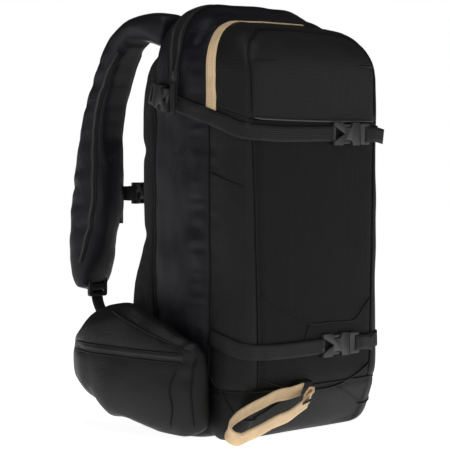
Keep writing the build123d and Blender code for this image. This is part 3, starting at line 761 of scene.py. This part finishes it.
def rim_lines(bm):
    """The panel's edges as ordered lines of points."""
    linked = {}
    for edge in bm.edges:
        if edge.is_boundary:
            a, b = edge.verts
            linked.setdefault(a, []).append(b)
            linked.setdefault(b, []).append(a)
    lines = []
    while linked:
        start = next(iter(linked))
        line = [start]
        while True:
            here = line[-1]
            ahead = [v for v in linked.get(here, []) if v in linked and v not in line[-2:]]
            linked.pop(here, None)
            if not ahead:
                break
            line.append(ahead[0])
        lines.append(np.array([v.co for v in line + [start]]))
    return lines


def piping(name, lines, where, radius, body, slot="black_webbing", material=None, sink=0.3):
    """A round welt along the stretches of some edge lines that pass a test."""
    count = 0
    for line in lines:
        good = where(line)
        if not good.any():
            continue
        if not good.all():
            line = np.roll(line[:-1], -int(np.argmin(good[:-1])), axis=0)
            good = where(line)
        starts = [i for i in range(len(line)) if good[i] and (i == 0 or not good[i - 1])]
        for i in starts:
            j = i
            while j < len(line) and good[j]:
                j += 1
            if j - i < 4 or length_of(line[i:j]) < 0.02:
                continue
            run = evenly(line[i:j], 0.004)
            for _ in range(2):
                run[1:-1] = (run[:-2] + 2 * run[1:-1] + run[2:]) / 4
            normals = bag_normal(run)
            run = run + normals * radius * (1 - 2 * sink)
            tube(f"{name}_{count}", run, radius, body, slot, up=normals, material=material)
            count += 1


def bag_line(route, proud=0.0, spacing=0.004):
    """A smooth line on the bag through rough points, with its normals."""
    line, normals = bag_surface(spline(route, spacing), proud)
    return line, normals


def bag_tape(name, route, width, proud, thickness, body, slot, *replaced, rows=6):
    """A tape sewn to the bag, following its surface across its whole width."""
    line, normals = bag_line(route)
    tangent = unit(np.gradient(line, axis=0))
    across = unit(np.cross(normals, tangent))
    widths = np.interp(np.linspace(0, 1, len(line)), np.linspace(0, 1, len(width)), width)

    def place(column, row):
        share = row / (rows - 1) - 0.5
        return bag_surface(line[column] + across[column] * (share * widths[column])[:, None], proud)[0]

    bm = mapped_grid(len(line), rows, place, (length_of(line), max(width)))
    return keep(solidify(from_bmesh(bm, name), thickness), body, slot, *replaced)


def bag_seam(name, route, radius=0.0011, body="root", slot="black_webbing", material=None):
    """A sewn welt line on the bag."""
    line, normals = bag_line(route, radius * 0.4)
    return tube(name, line, radius, body, slot, up=normals, material=material)


# ---------------------------------------------------------------- sewn panels
below_lid = ((0, front_y, lid_z), (0, -lid_slope, 1))
above_lid = ((0, front_y, lid_z + 0.0006), (0, lid_slope, -1))
ahead = ((0, pocket_y, 0), (0, 1, 0))
behind = ((0, pocket_y, 0), (0, -1, 0))
over_boot = ((0, 0, boot_top), (0, 0, -1))
left = ((0, 0, 0), (1, 0, 0))
right = ((0, 0, 0), (-1, 0, 0))
cap_cuts = [((0, pocket_y, 0), (0, -1, 0)), ((0, 0.0262, 0), (0, 1, 0)), ((0, 0, cap_z), (0, 0, -1))]
flap_cuts = [((0, 0.0474, 0), (0, -1, 0)), ((0, 0.0732, 0), (0, 1, 0)), ((0, 0, flap_z), (0, 0, -1))]
before_back = ((0, 0.0815, 0), (0, 1, 0))

boot_rims = panel("boot", "root", "base_cloth", [((0, 0, boot_top), (0, 0, 1))], "bag_bottom")
face_rims = panel(
    "pocket_face", "root", "front_twill", face_planes + [over_boot, below_lid, ahead], "pocket_front"
)
for side, half in (("left", left), ("right", right)):
    panel(
        f"gusset_{side}", "root", "ripstop", [half, ahead, over_boot, below_lid],
        f"pocket_side_{side}", holes=[face_planes],
    )
    panel(
        f"side_panel_{side}", "root", "side_nylon", [half, behind, over_boot, before_back],
        f"bag_side_{side}", holes=[cap_cuts, flap_cuts],
    )
lid_rims = panel("lid_face", "pocket_lid", "front_coated", face_planes + [above_lid, ahead], "pocket_lid")
panel("lid_gusset", "pocket_lid", "ripstop", [ahead, above_lid], holes=[face_planes])
panel("top_cap", "main_lid", "side_nylon", cap_cuts, "main_lid")
panel("rear_flap", "airbag_flap", "side_nylon", flap_cuts, "airbag_flap")
panel("back_sheet", "root", "back_mesh", [over_boot, ((0, 0.0815, 0), (0, -1, 0))], "back_panel")


def lid_edge(line):
    """True along the lid's lower hem."""
    return np.abs(line[:, 2] - lid_z - lid_slope * (line[:, 1] - front_y)) < 0.004


def face_sides(line):
    """True along the sewn outline of the front face, up the sides and over the arch."""
    return (np.abs(face_edge(line)) < 0.0035) & (line[:, 2] > boot_top + 0.004)


piping("face_piping", face_rims, lambda p: face_sides(p) & ~lid_edge(p), 0.0014, "root")
piping("lid_piping", lid_rims, lambda p: face_sides(p) & ~lid_edge(p), 0.0014, "pocket_lid")
piping("lid_hem", lid_rims, lid_edge, 0.0011, "pocket_lid", material=hem_edge, sink=0.1)
piping("boot_piping", boot_rims, lambda p: p[:, 1] < 0.078, 0.0012, "root")

# The dart at each shoulder of the lid
bag_seam("lid_dart_left", [(-0.118, -0.080, 0.476), (-0.105, -0.086, 0.480), (-0.084, -0.088, 0.482)],
         body="pocket_lid")
bag_seam("lid_dart_right", [(0.118, -0.080, 0.476), (0.105, -0.086, 0.480), (0.084, -0.088, 0.482)],
         body="pocket_lid")

# Seams of the front pocket: the chevron over the boot, its short leg, and the pocket's lower hem
chevron = [
    (-0.117, -0.088, 0.188), (-0.090, -0.09, 0.1755), (-0.029, -0.09, 0.1475), (-0.024, -0.09, 0.1455),
    (-0.018, -0.09, 0.1445), (0.030, -0.09, 0.1440), (0.073, -0.09, 0.1440), (0.079, -0.09, 0.1455),
    (0.084, -0.09, 0.1490), (0.102, -0.09, 0.1630), (0.117, -0.088, 0.1740),
]
bag_seam("chevron_seam", chevron)
bag_seam("chevron_leg", [(-0.022, -0.09, 0.144), (-0.029, -0.09, 0.128), (-0.033, -0.09, 0.119)])
hem = [
    (-0.1120, -0.085, 0.081), (-0.092, -0.089, 0.071), (-0.045, -0.089, 0.055), (0.0, -0.088, 0.0505),
    (0.055, -0.088, 0.056), (0.095, -0.088, 0.074), (0.1125, -0.085, 0.086),
]
bag_seam("pocket_hem", hem, 0.0014)
arc = [(-0.133, -0.021, 0.085), (-0.132, -0.045, 0.066), (-0.124, -0.066, 0.040), (-0.105, -0.075, 0.018)]
bag_seam("boot_arc_left", arc)
bag_seam("boot_arc_right", [(-x, y, z) for x, y, z in arc])
dart = [(-0.118, -0.068, 0.034), (-0.100, -0.076, 0.030), (-0.070, -0.082, 0.043), (-0.045, -0.086, 0.053)]
bag_seam("boot_dart_left", dart)
bag_seam("boot_dart_right", [(-x, y, z) for x, y, z in dart])

# The gusset's slanting seam, and the long seams down each side panel
for side, sign in (("left", -1), ("right", 1)):
    bag_seam(f"gusset_seam_{side}", [(sign * 0.142, -0.022, 0.342), (sign * 0.128, -0.078, 0.322)])
    bag_seam(f"pocket_seam_{side}",
             [(sign * 0.140, pocket_y, z) for z in (0.07, 0.18, 0.30, 0.428)], 0.0012)
    bag_seam(f"back_seam_{side}",
             [(sign * 0.13, 0.0815, z) for z in (0.07, 0.18, 0.30, 0.40, 0.47)], 0.0018)

# ---------------------------------------------------------------- zips over the top and the pale trim
arch = [(-0.149, 0.458), (-0.150, 0.482), (-0.140, 0.520), (-0.112, 0.548), (-0.06, 0.562), (0, 0.566)]
arch += [(-x, z) for x, z in arch[-2::-1]]


def over_top(y):
    """The arch of a zip over the bag's top."""
    return [(x, y, z) for x, z in arch]


for name, y, node in (("main_zip", 0.0305, "main_zip"), ("airbag_zip", 0.0435, "airbag_zip")):
    bag_tape(f"{name}_tape", over_top(y), [0.009], 0.0012, 0.0012, "root", "zip_tape", node)
    bag_seam(f"{name}_welt_front", over_top(y - 0.0052), 0.0017)
    bag_seam(f"{name}_welt_back", over_top(y + 0.0052), 0.0017)

trim_y = pocket_y + 0.0032
trim_route = [
    (-0.150, 0.419), (-0.150, 0.44), (-0.150, 0.47), (-0.135, 0.512), (-0.10, 0.535), (-0.05, 0.545),
    (0, 0.548), (0.055, 0.546),
]
taper_steps = np.linspace(0, 1, 60)
trim_taper = np.interp(taper_steps, [0, 0.25, 0.5, 0.62, 1], [0.0180, 0.0165, 0.0105, 0.0045, 0.0018])
trim_line = spline([(x, trim_y, z) for x, z in trim_route])
trim_widths = np.interp(np.linspace(0, 1, len(trim_line)), taper_steps, trim_taper)


def trim_place(column, row):
    edge = trim_line[column].copy()
    edge[:, 1] -= trim_widths[column] * (1 - row / 4)
    return bag_surface(edge, 0.0013)[0]


bm = mapped_grid(len(trim_line), 5, trim_place, (length_of(trim_line), 0.0135))
keep(solidify(from_bmesh(bm, "pale_trim"), 0.0011), "pocket_lid", "tan_webbing", "pocket_trim")

# ---------------------------------------------------------------- compression straps
web_width = 0.020
top_z = middle("front_strap_top")[2]
low_z = middle("front_strap_bottom")[2]
top_female, top_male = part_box("top_buckle_female"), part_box("top_buckle_male")
low_female, low_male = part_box("bottom_buckle_female"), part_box("bottom_buckle_male")


def strap_route(side, height, near_x, rise, back):
    """From the side panel forward along the rising run, round the corner to the buckle."""
    flank = [(side * 0.15, y, height + rise * (y - front_y)) for y in back]
    corner = [(side * 0.126, -0.083, height + 0.001), (side * 0.112, front_y, height)]
    return flank + corner + [(near_x, front_y, height)]


for name, height, female, male, rise, back, replaced in (
    ("top", top_z, top_female, top_male, 0.325, (0.052, 0.01, -0.03, -0.06),
     ("front_strap_top", "side_straps")),
    ("low", low_z, low_female, low_male, 0.268, (-0.022, -0.045, -0.065), ("front_strap_bottom",)),
):
    left_run = strap_route(-1, height, female[0].x + 0.004, rise, back)
    right_run = strap_route(1, height, male[1].x - 0.010, rise, back)
    for side, run, nodes_replaced in (("left", left_run, replaced), ("right", right_run, ())):
        bag_tape(f"{name}_strap_{side}", run, [web_width], 0.0026, 0.0018, "root", "black_webbing",
                 *nodes_replaced)

for name, male, height, body in (
    ("top", top_male, top_z, "top_male"), ("low", low_male, low_z, "bottom_male"),
):
    x = male[1].x
    tail = spline([(x - 0.008, front_y - 0.0085, height), (x + 0.006, front_y - 0.0095, height),
                   (x + 0.020, front_y - 0.008, height - 0.001), (x + 0.033, front_y - 0.006, height - 0.003)])
    facing = along_line((0.0, -1.0, 0.0), tail)
    ribbon(f"{name}_strap_tail", tail, facing, web_width, 0.0016, body, "black_webbing")

for node, body in (
    ("top_buckle_female", "root"), ("bottom_buckle_female", "root"), ("side_buckle_females", "root"),
    ("top_buckle_male", "top_male"), ("bottom_buckle_male", "bottom_male"),
    ("side_buckle_male_left", "side_male_left"), ("side_buckle_male_right", "side_male_right"),
):
    moulded(node, body, "grey_plastic")


# ---------------------------------------------------------------- padded pieces
def rows_at(stations, count):
    """Rows of numbers at stations, as smooth evenly spaced rows."""
    table = np.asarray(stations, float)
    steps = np.linalg.norm(np.diff(table[:, :3], axis=0), axis=1)
    knots = np.concatenate([[0], np.cumsum(steps)])
    slope = np.gradient(table, knots, axis=0)
    s = np.linspace(0, knots[-1], count)
    i = np.clip(np.searchsorted(knots, s, side="right") - 1, 0, len(table) - 2)
    width = (knots[i + 1] - knots[i])[:, None]
    t = ((s - knots[i])[:, None]) / width
    return (
        (2 * t ** 3 - 3 * t ** 2 + 1) * table[i] + (t ** 3 - 2 * t ** 2 + t) * width * slope[i]
        + (3 * t ** 2 - 2 * t ** 3) * table[i + 1] + (t ** 3 - t ** 2) * width * slope[i + 1]
    )


def padded_loft(name, stations, outward, count=90, sides=48, power=2.6, relief=None):
    """A closed pad lofted along stations of x, y, z, half thickness and half width."""
    rows = rows_at(stations, count)
    centre, thick, wide = rows[:, :3], rows[:, 3], rows[:, 4]
    tangent = unit(np.gradient(centre, axis=0))
    guide = outward(centre)
    first = unit(guide - (guide * tangent).sum(1, keepdims=True) * tangent)
    second = np.cross(tangent, first)
    share = np.linspace(-1, 1, count)
    closing = (1 - np.abs(share) ** 22) ** (1 / 3)

    def place(column, row):
        turn = -2 * pi * row / sides
        c, s = np.cos(turn), np.sin(turn)
        a = np.sign(c) * np.abs(c) ** (2 / power) * thick[column] * closing[column]
        b = np.sign(s) * np.abs(s) ** (2 / power) * wide[column] * (0.35 + 0.65 * closing[column])
        points = centre[column] + first[column] * a[:, None] + second[column] * b[:, None]
        if relief:
            points = points + unit(points - centre[column]) * relief(points)[:, None]
        return points

    bm = mapped_grid(count, sides + 1, place, None, 0.0004)
    bmesh.ops.holes_fill(bm, edges=bm.edges[:], sides=0)
    bmesh.ops.recalc_face_normals(bm, faces=bm.faces)
    return from_bmesh(bm, name)


def tree_of(obj):
    bm = bmesh.new()
    bm.from_mesh(obj.data)
    tree = BVHTree.FromBMesh(bm)
    bm.free()
    return tree


def snapped(tree, points, outward, proud=0.0, reach=0.04):
    """Points dropped on a pad from outside, with the pad's normals there."""
    outward = np.broadcast_to(unit(np.asarray(outward, float)), points.shape)
    places, normals = [], []
    for point, way in zip(points, outward):
        start = Vector(point + way * reach)
        hit, normal, _, _ = tree.ray_cast(start, Vector(-way), 2 * reach)
        if hit is None:
            hit, normal = Vector(point), Vector(way)
        places.append(hit)
        normals.append(normal)
    normals = unit(np.array(normals))
    for _ in range(3):
        normals[1:-1] = unit(normals[:-2] + 2 * normals[1:-1] + normals[2:])
    return np.array(places) + normals * proud, normals


def pad_tape(name, tree, route, outward, width, body, slot, thickness=0.001, proud=0.0008, rows=5):
    """A tape laid over a pad along a rough route."""
    line = spline(route, 0.004)
    line, normals = snapped(tree, line, outward)
    tangent = unit(np.gradient(line, axis=0))
    across = unit(np.cross(normals, tangent))
    flat = [line + across * ((row / (rows - 1) - 0.5) * width) for row in range(rows)]
    laid = np.array([snapped(tree, points, normals, proud, 0.012)[0] for points in flat])
    bm = mapped_grid(len(line), rows, lambda c, r: laid[r, c], (length_of(line), width))
    return keep(solidify(from_bmesh(bm, name), thickness), body, slot)


def pad_seam(name, tree, route, outward, body, radius=0.0011, slot="black_webbing"):
    """A sewn welt over a pad along a rough route."""
    line, normals = snapped(tree, spline(route, 0.004), outward, radius * 0.4)
    for _ in range(2):
        line[1:-1] = (line[:-2] + 2 * line[1:-1] + line[2:]) / 4
    return tube(name, line, radius, body, slot, up=normals)


# ---------------------------------------------------------------- shoulder straps
strap_stations = [
    (0.090, 0.5240, 0.0280, 0.0290), (0.125, 0.5335, 0.0190, 0.0300), (0.160, 0.5320, 0.0135, 0.0310),
    (0.188, 0.5125, 0.0130, 0.0320), (0.2065, 0.481, 0.0135, 0.0325), (0.2220, 0.447, 0.0150, 0.0330),
    (0.2365, 0.396, 0.0195, 0.0330), (0.2430, 0.335, 0.0285, 0.0330), (0.2455, 0.2950, 0.0315, 0.0330),
    (0.2515, 0.2530, 0.0265, 0.0325), (0.2545, 0.2150, 0.0215, 0.0320), (0.2560, 0.1960, 0.0165, 0.0310),
    (0.2570, 0.1750, 0.0120, 0.0290),
]


def strap_relief(points):
    """Cross folds where the sleeve is gathered along its zip, and a soft swell between them."""
    folds = wave(points, 1, 21, (14, 10, 62))
    swell = wave(points, 1, 25, (20, 16, 16))
    return folds * 0.0016 * (points[:, 1] > 0.15) + swell * 0.0014


for side, sign in (("left", -1), ("right", 1)):
    middle_x = middle(f"shoulder_strap_{side}")[0]
    stations = [(middle_x, y, z, thick, wide) for y, z, thick, wide in strap_stations]
    pad = padded_loft(
        f"shoulder_pad_{side}", stations,
        lambda c: np.stack([c[:, 0] * 0, c[:, 1] - 0.05, c[:, 2] - 0.33], axis=1),
        power=3.4, relief=strap_relief,
    )
    pad = puffed(remeshed(pad, 0.0045), 3.0, 0.0035)
    tree = tree_of(pad)
    subdivide(pad)
    keep(pad, "root", "strap_nylon", f"shoulder_strap_{side}", f"strap_sleeve_{side}")
    outer = sign * 0.0305
    edge_way = (sign, 0.0, 0.0)
    zip_run = [(middle_x + outer, y + d, z) for y, d, z in (
        (0.183, -0.003, 0.503), (0.200, -0.003, 0.477), (0.216, -0.004, 0.446), (0.231, -0.007, 0.396),
        (0.237, -0.012, 0.335), (0.241, -0.014, 0.295), (0.248, -0.010, 0.253), (0.253, -0.004, 0.215),
    )]
    pad_tape(f"sleeve_zip_{side}", tree, zip_run, edge_way, 0.006, "root", "zip_tape")
    pad_seam(f"sleeve_welt_{side}", tree, [(x, y - 0.0045, z) for x, y, z in zip_run], edge_way, "root")
    inner_run = [(middle_x - outer, y, z) for x, y, z in zip_run]
    pad_seam(f"pad_welt_{side}", tree, inner_run, (-sign, 0.0, 0.0), "root")
    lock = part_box("ladder_locks")
    lock_y = middle("ladder_locks")[1]
    web = spline([
        (middle_x, lock_y + 0.001, lock[0].z + 0.010), (middle_x, lock_y, lock[0].z - 0.004),
        (middle_x, lock_y - 0.010, lock[0].z - 0.022), (middle_x, 0.190, 0.136),
        (middle_x, 0.140, 0.127), (middle_x, 0.100, 0.122),
    ])
    slope = unit(np.gradient(web, axis=0))
    facing = np.cross(along_line((1.0, 0, 0), web), slope)
    replaced = ["strap_webbing"] if sign < 0 else []
    ribbon(f"lower_webbing_{side}", web, facing, web_width, 0.0018, "root", "black_webbing", *replaced)
    tab = spline([(middle_x, lock_y, lock[1].z - 0.008), (middle_x, lock_y + 0.002, lock[1].z + 0.012),
                  (middle_x, lock_y + 0.004, lock[1].z + 0.024)])
    ribbon(f"lock_tab_{side}", tab, along_line((0, 1.0, 0), tab), 0.022, 0.0022, "root", "black_webbing")

# ---------------------------------------------------------------- hip belt
wing_stations = [
    (-0.1480, -0.038, 0.012, 0.116, 0.006), (-0.1550, -0.022, 0.004, 0.123, 0.012),
    (-0.1600, 0.010, 0.002, 0.136, 0.017), (-0.1630, 0.045, 0.008, 0.150, 0.0205),
    (-0.1650, 0.080, 0.016, 0.165, 0.0230), (-0.1655, 0.110, 0.017, 0.176, 0.0240),
    (-0.1645, 0.138, 0.030, 0.165, 0.0230), (-0.1615, 0.165, 0.045, 0.144, 0.0200),
    (-0.1530, 0.192, 0.062, 0.127, 0.0140), (-0.1380, 0.208, 0.068, 0.119, 0.0085),
    (-0.1210, 0.2155, 0.073, 0.112, 0.0050),
]


def wing(side, sign, plump, relief):
    """The padded hip wing with its fin: one quilted pad from the bag's seam to the belt."""
    stations = []
    for x, y, low, high, thick in wing_stations:
        thin = thick * plump
        stations.append((-sign * (x + (thick - thin) * 0.9), y, (low + high) / 2, thin, (high - low) / 2))
    pad = padded_loft(
        f"hip_wing_pad_{side}", stations,
        lambda c: np.stack([sign * (0.4 + c[:, 1] * 0), np.clip(c[:, 1] - 0.14, 0, 1) * 9, c[:, 1] * 0], axis=1),
        count=84, sides=60, power=3.0, relief=relief,
    )
    return puffed(remeshed(pad, 0.005), 3.0, 0.004)


def hip_zip_z(y):
    """Height of the hip pocket's zip."""
    return 0.1060 + 0.03 * y


def wing_relief(points):
    """Pulled in along the pocket's zip, full below it, with folds at its front edge."""
    x, y, z = points.T
    outside = x < -0.150
    zip_z = hip_zip_z(np.clip(y, -0.03, 0.19))
    relief = -0.0030 * dip(z - zip_z, 0.006) * outside
    relief += 0.0050 * dip(z - 0.055, 0.032) * dip(y - 0.075, 0.085) * outside
    fold = wave(points, 1, 31, (10, 26, 12)) * 0.0026
    crease = wave(np.stack([x, y + z * 0.4, z - y * 0.3], axis=1), 1, 35, (12, 44, 20)) * 0.0016
    return relief + fold + crease * np.clip((0.06 - y) / 0.06, 0.25, 1)


left_wing = wing("left", -1, 1.0, wing_relief)
tree = tree_of(left_wing)
subdivide(left_wing)
keep(left_wing, None, "hip_cloth", "hip_wing_left", "hip_pocket_left", "hip_fins")
right_wing = subdivide(wing("right", 1, 0.62, lambda p: wave(p, 1, 33, (10, 26, 12)) * 0.0022))
keep(right_wing, None, "hip_cloth", "hip_wing_right")


def across_hinge(obj):
    """Bakes the placement of a piece that crosses the hip hinge into its mesh."""
    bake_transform(obj)


across_hinge(left_wing)
across_hinge(right_wing)

out_left = (-1.0, 0.15, 0.0)
zip_line = [(-0.17, y, hip_zip_z(y)) for y in (-0.012, 0.02, 0.06, 0.10, 0.14, 0.165)]
zip_line.append((-0.165, 0.185, 0.1095))
across_hinge(pad_tape("hip_zip_tape", tree, zip_line, out_left, 0.010, None, "zip_tape"))
over_zip = [(x, y, z + 0.0058) for x, y, z in zip_line]
across_hinge(pad_seam("hip_zip_welt_high", tree, over_zip, out_left, None, 0.0013))
under_zip = [(x, y, z - 0.0058) for x, y, z in zip_line]
across_hinge(pad_seam("hip_zip_welt_low", tree, under_zip, out_left, None, 0.0013))
brow = [
    (-0.165, -0.018, 0.113), (-0.165, 0.01, 0.126), (-0.17, 0.045, 0.139), (-0.17, 0.08, 0.153),
    (-0.17, 0.106, 0.162),
]
across_hinge(pad_seam("hip_brow_seam", tree, brow, out_left, None, 0.0016))
front_seam = [
    (-0.16, -0.024, 0.108), (-0.165, -0.022, 0.080), (-0.165, -0.022, 0.045), (-0.16, -0.022, 0.018),
]
pad_seam("hip_front_seam", tree, front_seam, out_left, "root", 0.0014)
dart_line = [(-0.17, -0.004, 0.090), (-0.172, 0.004, 0.070), (-0.172, 0.002, 0.040), (-0.168, 0.010, 0.016)]
pad_seam("hip_pocket_seam", tree, dart_line, out_left, "root", 0.0012)

for side, sign in (("left", -1), ("right", 1)):
    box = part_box(f"hip_webbing_{side}")
    _, y, z = middle(f"hip_webbing_{side}")
    near = min(abs(box[0].x), abs(box[1].x))
    run = spline([(sign * 0.134, y - 0.003, z), (sign * 0.115, y + 0.0012, z), (sign * 0.09, y + 0.0004, z),
                  (sign * near, y, z)])
    ribbon(f"belt_webbing_{side}", run, along_line((0.0, 1.0, 0.0), run), 0.038, 0.0022, f"hip_{side}", "black_webbing",
           f"hip_webbing_{side}")

# ---------------------------------------------------------------- back padding
back_stations = [
    (0, 0.1000, 0.066, 0.0100, 0.104), (0, 0.1040, 0.082, 0.0180, 0.120), (0, 0.1060, 0.110, 0.0215, 0.128),
    (0, 0.1060, 0.150, 0.0220, 0.138), (0, 0.1050, 0.190, 0.0200, 0.137), (0, 0.1000, 0.240, 0.0150, 0.1290),
    (0, 0.0990, 0.320, 0.0150, 0.1290), (0, 0.1000, 0.400, 0.0160, 0.1275), (0, 0.1010, 0.450, 0.0170, 0.123),
    (0, 0.0990, 0.490, 0.0150, 0.110), (0, 0.0950, 0.512, 0.0100, 0.092),
]


def back_relief(points):
    """Channels between the pads, and a waist in the lumbar pad."""
    x, y, z = points.T
    outer = y > 0.100
    channels = 0.006 * dip(x, 0.010) + 0.005 * dip(z - 0.258, 0.008) + 0.005 * dip(z - 0.370, 0.008)
    channels = channels + 0.005 * dip(z - 0.146, 0.007)
    return -channels * outer + wave(points, 1, 41, (14, 20, 14)) * 0.0012


padding = padded_loft("back_padding", back_stations, lambda c: along_line((0.0, 1.0, 0.0), c),
                      count=110, sides=96, power=4.5, relief=back_relief)
padding = puffed(remeshed(padding, 0.005), 2.0, 0.002)
subdivide(padding)
keep(padding, "root", "back_mesh", "lumbar_pad")

bm = copy_of("back_pads")
bmesh.ops.translate(bm, vec=(0, 0.0085, 0), verts=bm.verts)
pads = from_bmesh(bm, "back_cushions")
pads = subdivide(puffed(remeshed(pads, 0.0045), 4.0, 0.005))
keep(pads, "root", "back_mesh", "back_pads")

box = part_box("haul_loop")
haul_z = middle("haul_loop")[2]
haul = spline([
    (box[0].x, back_y - 0.001, haul_z), (box[0].x + 0.003, 0.104, haul_z),
    (box[0].x + 0.014, box[1].y - 0.002, haul_z),
    (0, box[1].y, haul_z + 0.001), (box[1].x - 0.014, box[1].y - 0.002, haul_z),
    (box[1].x - 0.003, 0.104, haul_z), (box[1].x, back_y - 0.001, haul_z),
])
slope = unit(np.gradient(haul, axis=0))
facing = np.cross(slope, along_line((0, 0, 1.0), haul))
ribbon("haul_webbing", haul, facing, web_width, 0.0026, "root", "black_webbing", "haul_loop")

# ---------------------------------------------------------------- sternum strap
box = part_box("sternum_webbing")
_, sternum_y, sternum_z = middle("sternum_webbing")
for side, near, far in (("left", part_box("sternum_buckle_female")[0].x + 0.003, box[0].x + 0.009),
                        ("right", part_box("sternum_buckle_male")[1].x - 0.006, box[1].x - 0.009)):
    run = spline([(near, sternum_y, sternum_z), ((near + far) / 2, sternum_y + 0.0006, sternum_z),
                  (far, sternum_y, sternum_z)])
    ribbon(f"sternum_tape_{side}", run, along_line((0, 1.0, 0), run), 0.0206, 0.0026, "sternum", "black_webbing")
moulded("sternum_webbing", "sternum", "black_webbing")
moulded("sternum_buckle_female", "sternum", "black_plastic")
moulded("sternum_buckle_male", "sternum_male", "black_plastic")
moulded("hip_buckle_female", "hip_left", "black_plastic", 0.001)
moulded("hip_buckle_male", "hip_right", "black_plastic", 0.001)
moulded("ladder_locks", "root", "black_plastic")
# The rails sit at the straps' inner edges, where the padding reaches further back than its moulding
rail_shift = 0.009
bm = copy_of("sternum_rails")
bmesh.ops.translate(bm, vec=(0, rail_shift, 0), verts=bm.verts)
keep(from_bmesh(bm, "sternum_rail_bars"), "root", "black_plastic", "sternum_rails")

# ---------------------------------------------------------------- tail loop
loop_origin = np.array((-0.052, -0.099, 0.066))
loop_run = unit(np.array((0.953, -0.068, 0.250)))
loop_face = unit(np.array((-0.1787, -0.9129, 0.3671)))
loop_up = np.cross(loop_face, loop_run)
loop_points = [
    (0.004, -0.0045), (-0.016, -0.0025), (-0.040, 0.0020), (-0.066, 0.0020), (-0.096, 0.0015),
    (-0.122, -0.002),
    (-0.134, -0.008), (-0.1355, -0.016), (-0.128, -0.0245), (-0.110, -0.0265), (-0.086, -0.027),
    (-0.062, -0.0262), (-0.036, -0.0275), (-0.012, -0.0245), (0.004, -0.0225),
]


def loop_spline(points, spacing):
    """A line in the tail loop's own plane."""
    return spline([loop_origin + loop_run * a + loop_up * b for a, b in points], spacing)


loop_line = loop_spline(loop_points, 0.003)
slope = unit(np.gradient(loop_line, axis=0))
loop_lean = unit(loop_face * 0.80 + loop_up * 0.60)
facing = np.cross(slope, along_line(loop_lean, loop_line))
ribbon("tail_webbing", loop_line, facing, web_width, 0.0018, "tail_loop", "tan_webbing", "tail_loop")
moulded("tail_glide", "tail_loop", "black_plastic", 0.0005)
fold = loop_spline([
    (-0.006, -0.0215), (0.004, -0.0200), (0.013, -0.0165), (0.014, -0.0125), (0.006, -0.0145),
    (-0.002, -0.0180),
], 0.0025)
slope = unit(np.gradient(fold, axis=0))
facing = np.cross(slope, along_line(loop_lean, fold))
ribbon("tail_fold", fold, facing, web_width, 0.0018, "tail_loop", "tan_webbing")


# ---------------------------------------------------------------- zip pulls
def zip_pull(name, node, body, drop, length):
    """A slider with a wire ring and a webbing pull that hangs from it, on its left face."""
    low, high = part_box(node)
    side = np.array((-1.0, 0, 0))
    top = np.array((low.x, middle(node)[1], high.z - drop))
    moulded(node, body, "zip_metal", 0.0005)
    ring = [top + side * 0.002 + np.array((0, dy, dz)) for dy, dz in (
        (-0.002, 0.0), (-0.003, -0.006), (-0.002, -0.012), (0.002, -0.012), (0.003, -0.006), (0.002, 0.0))]
    tube(f"{name}_wire", spline(ring, 0.0015), 0.0007, body, "zip_metal", sides=6)
    run = spline([top + side * 0.0025 + np.array((0, 0, -d)) for d in (0.010, 0.5 * length, length)])
    ribbon(f"{name}_tab", run, along_line(side, run), 0.007, 0.0022, body, "black_webbing", crown=0.0006)


zip_pull("main_pull", "main_zip_slider", "main_zip_pull", 0.004, 0.052)
zip_pull("hip_pull", "hip_zip_slider", "hip_zip_pull", 0.006, 0.040)

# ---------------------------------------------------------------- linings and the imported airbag
slots = {part["node"]: part["material_slot"] for part in frame["record"]["subparts"]}
for node, shrink, voxel, depth in (
    ("pocket_divider", 0.94, 0.0022, 0.0006), ("rear_partition", 0.94, 0.0022, 0.0006),
    ("airbag", 0.97, 0.004, 0.0022),
):
    bm = copy_of(node)
    low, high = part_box(node)
    centre = (low + high) / 2
    scaled = Matrix.Diagonal((shrink, 1, 0.985 * shrink, 1))
    around = Matrix.Translation(centre) @ scaled @ Matrix.Translation(-centre)
    bmesh.ops.transform(bm, matrix=around, verts=bm.verts)
    lining = remeshed(from_bmesh(bm, node + "_cloth"), voxel)
    points = np.array([v.co for v in lining.data.vertices])
    points[:, 1] += wave(points, 1, 51, (26, 26, 40)) * depth
    lining.data.vertices.foreach_set("co", points.ravel())
    keep(lining, "root", slots[node], node)

# ---------------------------------------------------------------- moulded and hidden parts
for name, obj in nodes.items():
    obj.data.materials.clear()
    obj.data.materials.append(sewn_webbing if slots[name] == "black_webbing" else finishes[slots[name]])

skin.free()
place_camera()
studio()
